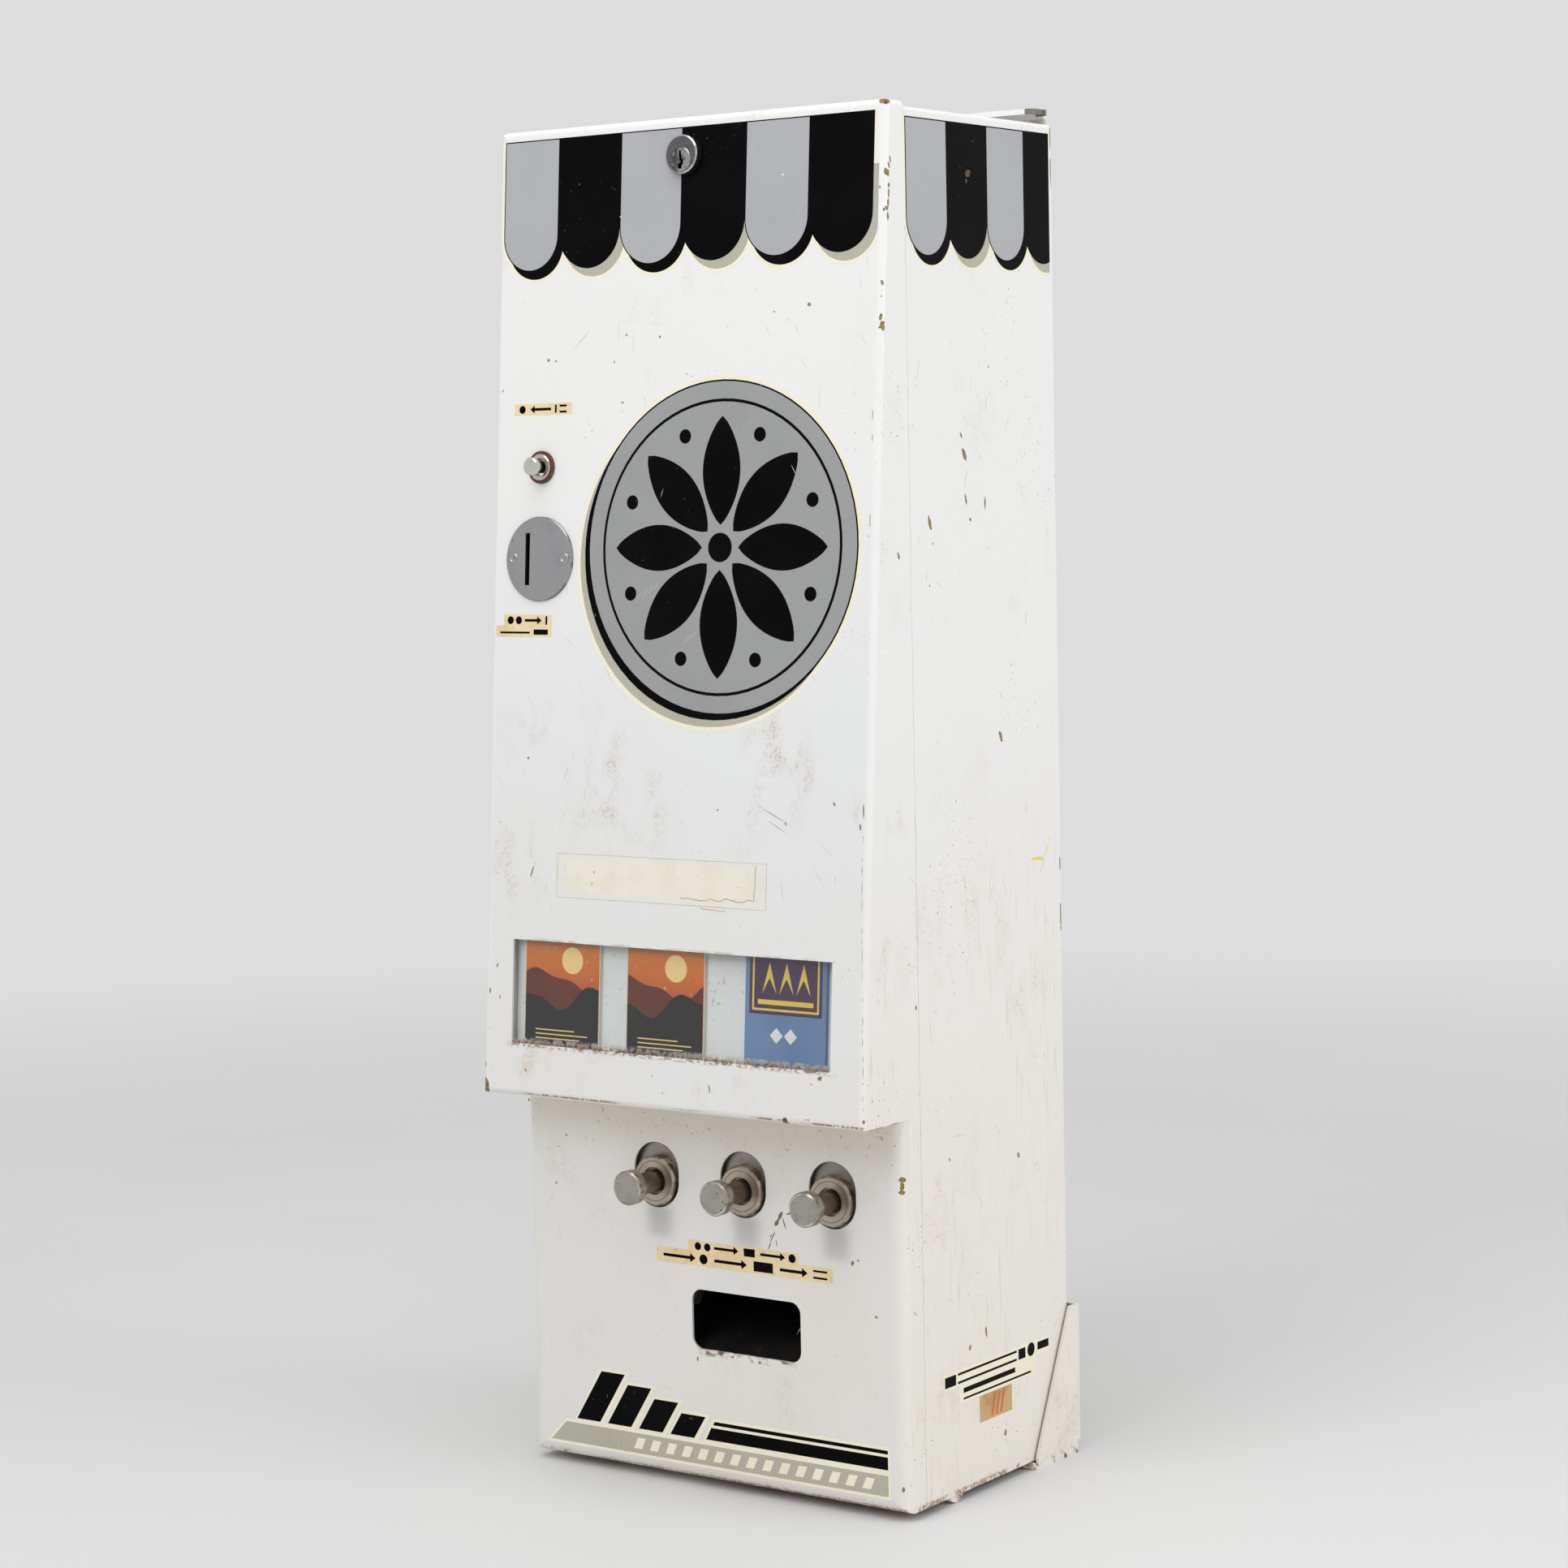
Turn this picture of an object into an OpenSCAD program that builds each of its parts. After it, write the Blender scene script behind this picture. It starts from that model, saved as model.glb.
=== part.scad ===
// Wall vending machine with three pack columns, push buttons and a cover that tilts forward.
// Sizes in mm. +Z is up, the front faces -Y, +X is to the right as the customer sees it.
// The origin lies on the standing plane, in the middle of the width and of the depth.

/* [Front cover] */
// Width of the cover
cover_w = 280; // [274:1:294]
// Height of the cover's box, from its bottom edge to its top
cover_h = 808.5; // [790:0.5:830]
// Depth of the cover from the lower front face to its rear edge
cover_d = 180; // [178:1:190]
// Thickness of the cover's sheet steel
sheet_t = 1.5; // [1.2:0.1:2]
// Radius of the upright corners of the lower front
corner_r = 10; // [7:0.5:13]
// Radius of the front bottom edge
bottom_r = 8; // [5:0.5:11]
// Depth of the flange that is turned in under the front
flange_d = 22; // [16:1:26]
// Height of the cover's bottom edge above the standing plane
foot_h = 5; // [4.5:0.1:7]

/* [Hood] */
// How far the hood's ledge stands in front of the lower face
ledge_out = 39.3; // [34:0.1:45]
// How far the hood's top edge lies behind the lower face
hood_back = 3; // [1:0.1:6]
// Height of the ledge above the cover's bottom edge
ledge_h = 231.2; // [228:0.1:245]
// How far the hood's top stands above the box's top
hood_rise = 3; // [2:0.5:5]
// Radius of the hood's edges
hood_r = 4; // [3:0.5:6]
// Distance from the lower face to the seam where the hood's flange ends
seam_d = 19.6; // [18:0.1:24]

/* [Window] */
// Distance from the cover's sides in to the window
window_in = 22.9; // [20:0.1:28]
// Height of the window
window_h = 62.8; // [58:0.1:68]
// Window centre, to the right of the middle
window_x = -0.8; // [-3:0.1:3]
// Window centre above the hood's ledge
window_rise = 63.4; // [60:0.1:70]

/* [Columns] */
// Width of the space for the coin path inside the cover's left side
coin_zone = 64.45; // [60:0.05:68]
// Gap between the frame and the cover's right side
frame_clear = 11.65; // [8:0.05:14]
// Sideways gap between packs in neighbouring columns
column_gap = 7.3; // [6.6:0.1:9]
// Length of a pack, which lies front to back
pack_l = 88; // [80:1:88]
// Thickness of a pack
pack_t = 12; // [10:0.5:13]
// Distance from the top of the cover's box down to the columns' top
column_drop = 78.5; // [74:0.5:200]

/* [Push buttons] */
// Button axis below the hood's ledge
button_drop = 51; // [49:0.1:54]
// Radius of a button's head
head_r = 10.4; // [9:0.1:11]
// Length of a button's head
head_l = 8; // [6:0.5:9]
// Radius of the stem behind the head
stem_r = 6.5; // [6:0.1:7]
// Reach of a button's head in front of the lower face
button_out = 30; // [29:0.5:34]
// Travel of a button
stroke = 18; // [12:0.5:18]
// Radius of a guide collar
collar_r = 15.2; // [14.5:0.1:15.6]
// Reach of a guide collar in front of the lower face
collar_out = 3; // [2:0.1:3.5]
// Width of the upright slotted hole around a collar
hole_w = 33.2; // [32.6:0.1:35]
// Height of that hole
hole_h = 40; // [39.5:0.1:42]

/* [Delivery opening] */
// Width of the delivery opening
delivery_w = 79.6; // [72:0.1:86]
// Height of the delivery opening
delivery_h = 36.2; // [32:0.1:40]
// Centre of the opening above the cover's bottom edge
delivery_h0 = 98.7; // [95:0.1:102]
// Corner radius of the opening
delivery_r = 7; // [4:0.5:10]

/* [Coin entry] */
// Radius of the coin plate
coin_plate_r = 25.4; // [24:0.1:27]
// Distance from the cover's left side to the coin plate's centre
coin_in = 37; // [35:0.5:39]
// Coin plate centre above the cover's bottom edge
coin_h = 554.8; // [550:0.1:560]
// Length of the coin slot
slot_l = 31; // [28:0.5:33]
// Width of the coin slot
slot_w = 3.2; // [2.6:0.1:3.6]
// Slot centre to the left of the plate's centre
slot_dx = 8.5; // [7:0.5:10]

/* [Return button] */
// Return button above the coin plate
return_dz = 54.8; // [53:0.1:57]
// Radius of the plunger
plunger_r = 5.35; // [5:0.05:5.6]
// Reach of the plunger in front of the hood
plunger_out = 12; // [10:0.5:14]
// Radius of the fibre washer
washer_r = 9.8; // [9.2:0.1:11]

/* [Lock] */
// Lock centre below the top of the cover's box
lock_drop = 19.6; // [19.5:0.1:22]
// Radius of the lock's rosette
lock_r = 11.5; // [11:0.1:13]
// Radius of the turning plug
plug_r = 6.2; // [5.8:0.1:6.4]
// How far the plug's axis lies below the rosette's centre
plug_drop = 3; // [2:0.1:3.2]

/* [Back plate] */
// Distance from the cover's rear edge to the wall
back_gap = 9; // [8:0.5:12]
// Thickness of the back plate
plate_t = 2; // [1.5:0.1:2.5]
// Height of the top lip above the cover's box
lip_rise = 10; // [9:0.5:13]
// Depth of the top lip from the wall
lip_d = 15; // [13:0.5:18]
// Depth of the bottom shelf from the wall
shelf_d = 52; // [46:1:56]
// Height of the side gussets
gusset_h = 93; // [80:1:100]
// Gap between a gusset and the cover's side
gusset_gap = 1.4; // [1:0.1:2]
// Radius of the wall bolt holes
bolt_r = 4.5; // [3:0.1:5]
// Distance from the cover's sides in to the bolt holes
bolt_in = 35; // [30:1:45]
// Height of the lower bolt holes above the standing plane
bolt_low = 62; // [56:1:70]
// Distance from the top of the cover's box down to the upper bolt holes
bolt_drop = 21.5; // [20:0.5:30]

/* [Tilt hinge] */
// Distance from the lower face back to the hinge rod
hinge_d = 53; // [51:1:55]
// Height of the rod above the cover's bottom edge
hinge_h = 4.5; // [4.5:0.1:5]
// Radius of the hinge rod
rod_r = 4; // [3:0.1:4.2]
// Radial clearance of running fits
run_fit = 0.05; // [0.03:0.01:0.08]

/* [Hidden] */
$fn = 96;

// Heights of the box's top, the hood's top and the ledge, and the slope of the hood's face
z_top = foot_h + cover_h;
z_hood = z_top + hood_rise;
z_ledge = foot_h + ledge_h;
hood_fall = ledge_out + hood_back;
hood_a = atan(hood_fall / (z_hood - z_ledge));

// Rear face of the back plate, its inner face, the cover's rear edge and its lower front face;
// the ledge's round edge ends a little behind its sharp corner
ledge_cut = round(100 * (hood_r / tan(45 - hood_a / 2) - hood_r)) / 100;
y_back = (ledge_out - ledge_cut + cover_d + back_gap) / 2;
y_wall = y_back - plate_t;
y_edge = y_back - back_gap;
y_face = y_edge - cover_d;
y_seam = y_face + seam_d;

// Wall bolts
bolt_x = cover_w / 2 - bolt_in;
bolt_z = [bolt_low, z_top - bolt_drop];

// Gussets: round lower front corner, and where their sloping edge meets it
gusset_r = 6;
gusset_top = [y_back - 10, gusset_h];
gusset_mid = [y_back - shelf_d + 2 + gusset_r, gusset_r];
gusset_a = atan2(gusset_top[1] - gusset_mid[1], gusset_top[0] - gusset_mid[0])
    + acos(gusset_r / norm(gusset_top - gusset_mid));
gusset_meet = gusset_mid + gusset_r * [cos(gusset_a), sin(gusset_a)];
curl_r = 2.2;

// Hinge axis, with knuckles that reach down to the standing plane
y_hinge = y_face + hinge_d;
z_hinge = foot_h + hinge_h;
knuckle_r = z_hinge;
lug_r = z_hinge - 0.5;
lug_x0 = cover_w / 2 - 18;
knuckle_x1 = lug_x0 - 2;
knuckle_x0 = knuckle_x1 - 16;

// Screws that hold the base tray on the shelf
y_tray_screw = y_back - 14;
tray_screw_x = [for (k = [-5, -2.25, 2.25, 5]) k / 6 * knuckle_x1];

// Frame sides and columns fill the width beside the coin path
frame_t = 2;
column_side = 2;
x_left = -cover_w / 2 + sheet_t + coin_zone + frame_t;
x_right = cover_w / 2 - sheet_t - frame_clear - frame_t;
column_x = (x_left + x_right) / 2;
column_pitch = (x_right - x_left - 2 * column_side) / 3;
pack_w = column_pitch - column_gap;

// Pack and shelf positions
z_button = z_ledge - button_drop;
z_shelf = z_button - pack_t / 2;
shelf_t = 1.5;
mag_t = 1.2;
mag_in = pack_w + 3;
y_mag1 = y_wall - stroke - 2;
y_mag0 = y_mag1 - pack_l - 2;
z_mag0 = z_shelf + pack_t + 2;
front_ledge = stroke - 4;
rear_ledge = 12;
column_top = z_top - column_drop;
rail_h = 26;
rail_in = 60;

// Frame sides, button plate and guide flange
z_frame0 = z_button - 35;
z_frame1 = z_ledge - 2;
y_plate = y_face + sheet_t + 2.5;
y_plate1 = y_plate + frame_t;
z_plate1 = z_button + 41;
y_guide1 = y_mag0 - 6;
y_guide0 = y_guide1 - frame_t;
plate_screw_pos = [
    [x_left + 7, z_button - 28],
    [x_left + 7, z_plate1 - 9],
    [x_right - 7, z_button - 28],
    [x_right - 7, z_plate1 - 9]
];

// Button stem: bush end, stop ring and spring
bush_r = 10;
y_bush = y_plate + 13;
y_ring = y_bush + 0.5;
ring_t = 2;
ring_r = 13;
tail_r = 5;
wire_r = 0.8;
spring_r = 7.3;
spring_turns = 8;
spring_l = y_guide0 - y_ring - ring_t;

// Spring wire: straight ends one wire across, and 8 points a turn between them
spring_n = 8 * spring_turns;
spring_pitch = (spring_l - 4 * wire_r) / spring_turns;
spring_mid = [for (k = [0:spring_n]) [
    spring_r * cos(45 * k),
    2 * wire_r + spring_pitch * k / 8,
    spring_r * sin(45 * k)
]];
spring_path = concat([[spring_r, 0, 0]], spring_mid, [[spring_r, spring_l, 0]]);
spring_gap = min([for (i = [0:spring_n - 5]) min([for (j = [i + 5:spring_n])
    norm(spring_mid[i] - spring_mid[j])])]) - 2 * wire_r;
echo(spring_least_gap = spring_gap);

// Release bar above the button stems
y_bar = y_face + 43;
z_bar = z_button + 33;
bar_r = 3;

// Coin path: the slot's plane, the coin gap and the coin tube
coin_x = -cover_w / 2 + coin_in;
x_slot = coin_x - slot_dx;
z_coin = foot_h + coin_h;
coin_gap = slot_w + 0.8;
coin_run = slot_l + 1;
tube_t = 1.2;
y_tube0 = y_face + 9;
y_tube1 = y_tube0 + coin_run;
z_tube1 = z_coin - 82;
selector_t = 4;

// Lock, with its plug and cam below the rosette's centre, and the return button
z_lock = z_top - lock_drop;
z_plug = z_lock - plug_drop * cos(hood_a);
barrel_r = plug_r + plug_drop + 1.2;
// The plug's head reaches almost to the rosette's edge
plug_head_r = lock_r - 1.3 - plug_drop;
// How far the lock's rosette stands out
lock_proud = round(43 * lock_r) / 100;
cam_y = 24.5;
cam_t = 3;
cam_l = 36;
z_return = z_coin + return_dz;
neck_r = plunger_r - 1.75;

// Window, its pane and tray, which share the room beside the window
z_window = z_ledge + window_rise;
window_w = cover_w - 2 * window_in;
window_side = cover_w / 2 - sheet_t - abs(window_x) - window_w / 2;
tray_rim = 0.388 * window_side;
pane_rim = 0.243 * window_side;
card_rim = 0.097 * window_side;
pane_t = 2;
card_y = sheet_t + pane_t + 4;
sample_t = 2.6;
sample_w = 0.2434 * window_w;
sample_x = window_w * [-0.3497, -0.0184, 0.3514];

// Reject lever, measured in the hood's own frame from the slot's centre
lever_y = 38;
lever_z = return_dz / cos(hood_a) - 19;
pin_r = 2.5;

function col_x(i) = column_x + i * column_pitch;
function hood_y(z) = y_face + hood_back - hood_fall * (z_hood - z) / (z_hood - z_ledge);

// Places children on the hood: local -Y points out of the sloping face
module on_hood(x, z) {
    translate([x, hood_y(z), z]) rotate([-hood_a, 0, 0]) children();
}

// A cylinder along +Y from a given point
module rod_y(r, y0, y1, x = 0, z = 0) {
    translate([x, y0, z]) rotate([-90, 0, 0]) cylinder(r = r, h = y1 - y0);
}

// A cylinder along +X from a given point
module rod_x(r, x0, x1, y = 0, z = 0) {
    translate([x0, y, z]) rotate([0, 90, 0]) cylinder(r = r, h = x1 - x0);
}

// A box given by its two opposite corners
module block(a, b) {
    translate(a) cube(b - a);
}

// Extrudes a side outline, drawn as Y and Z, across the width from x0 to x1
module across(x0, x1) {
    translate([x0, 0, 0]) rotate([90, 0, 90]) linear_extrude(x1 - x0) children();
}

// Six-sided nut blank along +Y
module hex_y(r, y0, y1, x = 0, z = 0) {
    translate([x, y0, z]) rotate([-90, 0, 0]) cylinder(r = r, h = y1 - y0, $fn = 6);
}

// Rectangle whose front corners (low Y) are round
module front_round(w, y0, y1, r) {
    translate([-w / 2, y0 + r]) square([w, y1 - y0 - r]);
    translate([-w / 2 + r, y0]) square([w - 2 * r, y1 - y0]);
    for (s = [-1, 1]) {
        translate([s * (w / 2 - r), y0 + r]) circle(r);
    }
}

// Rectangle whose upper corners (high Y) are round
module top_round(w, y0, y1, r) {
    translate([-w / 2, y0]) square([w, y1 - y0 - r]);
    translate([-w / 2 + r, y0]) square([w - 2 * r, y1 - y0]);
    for (s = [-1, 1]) {
        translate([s * (w / 2 - r), y1 - r]) circle(r);
    }
}

// Rectangle with four round corners, centred
module round_rect(w, h, r) {
    square([w - 2 * r, h], center = true);
    square([w, h - 2 * r], center = true);
    for (sx = [-1, 1]) {
        for (sy = [-1, 1]) {
            translate([sx * (w / 2 - r), sy * (h / 2 - r)]) circle(r);
        }
    }
}

// Lower part of the cover, inset by o on every face
module lower_solid(o, y1, z1) {
    intersection() {
        translate([0, 0, foot_h + o]) linear_extrude(z1 - foot_h - o)
            front_round(cover_w - 2 * o, y_face + o, y1, corner_r - o);
        across(-cover_w, cover_w) {
            r = bottom_r - o;
            translate([y_face + o + r, foot_h + o]) square([y1 - y_face - o - r, z1 - foot_h - o]);
            translate([y_face + o, foot_h + o + r]) square([y1 - y_face - o, z1 - foot_h - o - r]);
            translate([y_face + o + r, foot_h + o + r]) circle(r);
        }
    }
}

// Hood of the cover, inset by o on every face
module hood_solid(o) {
    r = hood_r - o;
    intersection() {
        on_hood(0, z_ledge) translate([0, 0, -40]) linear_extrude(z_hood - z_ledge + 80)
            front_round(cover_w - 2 * o, o, cover_d, r);
        translate([0, y_seam - o, 0]) rotate([90, 0, 0])
            linear_extrude(cover_d) top_round(cover_w - 2 * o, z_ledge + o, z_hood - o, r);
        hood_edge(z_ledge + o, o, r, 1);
        hood_edge(z_hood - o, o, r, -1);
    }
}

// Slab between the hood's sloping face and the inside, with one round front edge at height z
module hood_edge(z, o, r, s) {
    a = 90 - s * hood_a;
    yf = hood_y(z) + o / cos(hood_a);
    t = r / tan(a / 2);
    yc = yf + t;
    zc = z + s * r;
    across(-cover_w, cover_w) {
        translate([yc, s > 0 ? z : z - cover_h]) square([cover_d, cover_h]);
        translate([yc, zc]) circle(r);
        polygon([
            [yc, zc],
            [yc - r * cos(hood_a), zc + r * sin(hood_a)],
            [yc - r * cos(hood_a) + s * cover_h * sin(hood_a),
             zc + r * sin(hood_a) + s * cover_h * cos(hood_a)],
            [yc + cover_d, zc + s * cover_h],
            [yc + cover_d, zc]
        ]);
    }
}

// Box of the cover behind the seam, inset by o
module box_solid(o, y0, y1, z0) {
    translate([0, y1, 0]) rotate([90, 0, 0])
        linear_extrude(y1 - y0) top_round(cover_w - 2 * o, z0, z_top - o, 3 - o);
}

module front_cover() {
    color("white") difference() {
        union() {
            difference() {
                union() {
                    lower_solid(0, y_edge, z_ledge + sheet_t);
                    hood_solid(0);
                    box_solid(0, y_seam, y_edge, z_ledge);
                }
                lower_solid(sheet_t, y_edge + 1, z_ledge + sheet_t + 1);
                hood_solid(sheet_t);
                box_solid(sheet_t, y_seam - sheet_t - 1, y_edge + 1, z_ledge);
                block([-cover_w / 2 + sheet_t, y_face + flange_d, foot_h - 1],
                    [cover_w / 2 - sheet_t, y_edge + 1, foot_h + 2 * bottom_r]);
            }
            for (s = [-1, 1]) {
                mirror([s < 0 ? 1 : 0, 0, 0]) rod_x(lug_r, lug_x0, cover_w / 2 - 0.8, y_hinge, z_hinge);
            }
        }
        // Bores for the hinge rod
        rod_x(rod_r + run_fit, -cover_w / 2 + sheet_t, cover_w / 2 - sheet_t, y_hinge, z_hinge);
        // Window
        on_hood(window_x, z_window) block([-window_w / 2, -1, -window_h / 2],
            [window_w / 2, sheet_t + 1, window_h / 2]);
        // Coin slot, its rivets, the return bush and the lock
        on_hood(coin_x, z_coin) {
            block([-slot_dx - coin_gap / 2, -1, -coin_run / 2],
                [-slot_dx + coin_gap / 2, sheet_t + 1, coin_run / 2]);
            for (s = [-1, 1]) {
                rod_y(1.6, -1, sheet_t + 1, s * (coin_plate_r - 5.9));
            }
        }
        on_hood(coin_x, z_return) rod_y(plunger_r + 1.75, -1, sheet_t + 1);
        on_hood(0, z_lock) rod_y(barrel_r + 0.1, -1, sheet_t + 1);
        // Slotted holes around the collars
        for (i = [-1, 0, 1]) {
            translate([col_x(i), y_face - 1, z_button - hole_w / 2]) rotate([-90, 0, 0])
                linear_extrude(sheet_t + 2) {
                    translate([0, -hole_w / 2]) circle(d = hole_w);
                    translate([0, -hole_h + hole_w / 2]) circle(d = hole_w);
                    translate([-hole_w / 2, -hole_h + hole_w / 2]) square([hole_w, hole_h - hole_w]);
                }
        }
        // Delivery opening
        translate([column_x, y_face - 1, foot_h + delivery_h0]) rotate([-90, 0, 0])
            linear_extrude(sheet_t + 2) round_rect(delivery_w, delivery_h, delivery_r);
        // Fine seam where the hood's flange ends on each side
        for (s = [-1, 1]) {
            translate([s * cover_w / 2, y_seam, z_ledge]) cube([0.6, 0.7, 2 * cover_h], center = true);
        }
    }
}

module back_plate() {
    x_in = cover_w / 2 - 8;
    x_out = cover_w / 2 + gusset_gap + plate_t;
    x_lip = cover_w / 2 - 9;
    y_lip = y_back - lip_d;
    z_lip = z_top + lip_rise;
    lip_r = 6;
    color("ivory") difference() {
        union() {
            block([-x_in, y_wall, 0], [x_in, y_back, z_lip]);
            block([-x_out, y_wall, 0], [x_out, y_back, gusset_h]);
            block([-x_out, y_back - shelf_d, 0], [x_out, y_back, plate_t]);
            // Lip with round front corners and a shallow rim
            translate([0, 0, z_lip - plate_t])
                linear_extrude(plate_t) front_round(2 * x_lip, y_lip, y_back, lip_r);
            translate([0, 0, z_lip - plate_t - 1.2]) linear_extrude(plate_t) difference() {
                front_round(2 * x_lip, y_lip, y_back, lip_r);
                front_round(2 * (x_lip - plate_t), y_lip + plate_t, y_back + 1, lip_r - plate_t);
            }
            for (s = [-1, 1]) {
                mirror([s < 0 ? 1 : 0, 0, 0]) {
                    across(x_out - plate_t, x_out) {
                        polygon([
                            [y_back, 0],
                            [y_back, gusset_h],
                            gusset_top,
                            gusset_meet,
                            gusset_mid,
                            [gusset_mid[0], 0]
                        ]);
                        translate(gusset_mid) circle(gusset_r);
                    }
                    rod_x(curl_r, cover_w / 2 - 14, x_out - plate_t, y_back - shelf_d, curl_r);
                    block([x_in - plate_t, y_wall - 18, gusset_h + 12], [x_in, y_back, z_top - 14]);
                }
            }
        }
        for (x = [-bolt_x, bolt_x]) {
            for (z = bolt_z) {
                rod_y(bolt_r, y_wall - 1, y_back + 1, x, z);
            }
        }
        for (x = tray_screw_x) {
            translate([x, y_tray_screw, -1]) cylinder(r = 2 + run_fit, h = plate_t + 2);
        }
        // Notch at the lower rear corner of each gusset
        for (s = [-1, 1]) {
            mirror([s < 0 ? 1 : 0, 0, 0])
                block([x_out - 5, y_back - 3, -1], [x_out + 1, y_back + 1, 8]);
        }
    }
}

module base_tray() {
    color("ivory") difference() {
        union() {
            block([-knuckle_x1, y_hinge + knuckle_r + 1, plate_t], [knuckle_x1, y_wall, 2 * plate_t]);
            for (s = [-1, 1]) {
                mirror([s < 0 ? 1 : 0, 0, 0]) {
                    block([knuckle_x0, y_hinge, plate_t],
                        [knuckle_x1, y_hinge + knuckle_r + 2, 2 * plate_t]);
                    rod_x(knuckle_r, knuckle_x0, knuckle_x1, y_hinge, z_hinge);
                }
            }
        }
        rod_x(rod_r + run_fit, -cover_w, cover_w, y_hinge, z_hinge);
        for (x = tray_screw_x) {
            translate([x, y_tray_screw, 0]) cylinder(r = 2 + run_fit, h = 3 * plate_t);
        }
    }
}

module hinge_rod() {
    x1 = cover_w / 2 - sheet_t - 1;
    color("silver") rod_x(rod_r, -x1, x1, y_hinge, z_hinge);
}

module tray_screws() {
    color("silver") for (x = tray_screw_x) {
        translate([x, y_tray_screw, 0]) {
            cylinder(r = 2, h = 2 * plate_t + 1);
            translate([0, 0, 2 * plate_t]) cylinder(r = 4.2, h = 2.4);
        }
    }
}

// Frame side at x0 with flanges towards the columns; s is the inward direction
module frame_side(x0, s) {
    difference() {
        union() {
            block([x0, y_plate1, z_frame0], [x0 + frame_t, y_wall, z_frame1]);
            translate([s > 0 ? x0 : x0 + frame_t - 14, 0, 0]) {
                block([0, y_plate1, z_frame0], [14, y_plate1 + frame_t, z_frame1]);
                block([0, y_wall - frame_t, z_shelf + 20], [14, y_wall, z_frame1]);
            }
        }
        rod_x(bar_r + run_fit, x0 - 1, x0 + frame_t + 1, y_bar, z_bar);
        plate_holes();
    }
}

// Holes for the screws of the button plate
module plate_holes() {
    for (p = plate_screw_pos) {
        rod_y(2 + run_fit, y_plate - 1, y_plate1 + frame_t + 1, p[0], p[1]);
    }
}

module frame_side_left() {
    color("lightgray") frame_side(x_left - frame_t, 1);
}

module frame_side_right() {
    color("lightgray") frame_side(x_right, -1);
}

module button_plate() {
    color("gray") difference() {
        block([x_left - frame_t, y_plate, z_frame0], [x_right + frame_t, y_plate1, z_plate1]);
        for (i = [-1, 0, 1]) {
            rod_y(bush_r + run_fit, y_plate - 1, y_plate1 + 1, col_x(i), z_button);
        }
        plate_holes();
    }
}

module plate_screws() {
    color("silver") for (p = plate_screw_pos) {
        rod_y(2, y_plate - 0.5, y_plate1 + frame_t + 5, p[0], p[1]);
        rod_y(4, y_plate - 1.6, y_plate, p[0], p[1]);
    }
}

// Guide collar: a bevelled disc in front of the plate and a bush through it
module collar(i) {
    y0 = y_face - collar_out;
    color("silver") translate([col_x(i), 0, z_button]) difference() {
        union() {
            translate([0, y0, 0]) rotate([-90, 0, 0]) rotate_extrude() polygon([
                [0, 0],
                [collar_r - 1.2, 0],
                [collar_r, 1.2],
                [collar_r, y_plate - y0],
                [0, y_plate - y0]
            ]);
            rod_y(bush_r, y_plate - 1, y_bush);
        }
        rod_y(stem_r + run_fit, y0 - 1, y_bush + 1);
        rod_y(stem_r + 2, y0 - 1, y0 + 3.5);
    }
}

module collar_left() {
    collar(-1);
}

module collar_middle() {
    collar(0);
}

module collar_right() {
    collar(1);
}

module collar_nuts() {
    color("silver") for (i = [-1, 0, 1]) {
        difference() {
            hex_y(16, y_plate1, y_plate1 + 5, col_x(i), z_button);
            rod_y(bush_r + run_fit, y_plate1 - 1, y_plate1 + 6, col_x(i), z_button);
        }
    }
}

// Shelf under the columns, with a guide flange in front and an opening under each column
module column_shelf() {
    color("lightgray") difference() {
        union() {
            block([x_left, y_guide0, z_shelf - shelf_t], [x_right, y_wall, z_shelf]);
            block([x_left, y_guide0, z_shelf - shelf_t], [x_right, y_guide1, z_button + 12]);
            block([x_left, y_wall - shelf_t, z_shelf - shelf_t], [x_right, y_wall, z_shelf + 16]);
        }
        for (i = [-1, 0, 1]) {
            block([col_x(i) - pack_w / 2 - 1, y_mag0 + front_ledge, z_shelf - 5],
                [col_x(i) + pack_w / 2 + 1, y_mag1 - rear_ledge, z_shelf + 1]);
            rod_y(tail_r + run_fit, y_guide0 - 1, y_guide1 + 1, col_x(i), z_button);
        }
    }
}

// Pack column: an upright channel, open in front between two lips
module column(i) {
    w = mag_in / 2;
    color("gainsboro") translate([col_x(i), 0, 0]) {
        block([-w - mag_t, y_mag1, z_mag0], [w + mag_t, y_mag1 + mag_t, column_top]);
        for (s = [-1, 1]) {
            mirror([s < 0 ? 1 : 0, 0, 0]) {
                block([w, y_mag0 - mag_t, z_shelf], [w + mag_t, y_mag1 + mag_t, column_top]);
                block([w - 9, y_mag0 - mag_t, z_mag0], [w + mag_t, y_mag0, column_top]);
            }
        }
    }
}

module column_left() {
    column(-1);
}

module column_middle() {
    column(0);
}

module column_right() {
    column(1);
}

// Channel rail that holds the columns off the back plate
module column_rail(z) {
    y0 = y_mag1 + mag_t;
    color("lightgray") difference() {
        block([x_left, y0, z], [x_right, y_wall, z + rail_h]);
        block([x_left - 1, y0 + shelf_t, z + shelf_t], [x_right + 1, y_wall + 1, z + rail_h - shelf_t]);
    }
}

module column_rail_lower() {
    column_rail(z_mag0 + rail_in + 10);
}

module column_rail_upper() {
    column_rail(column_top - rail_in);
}

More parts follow.
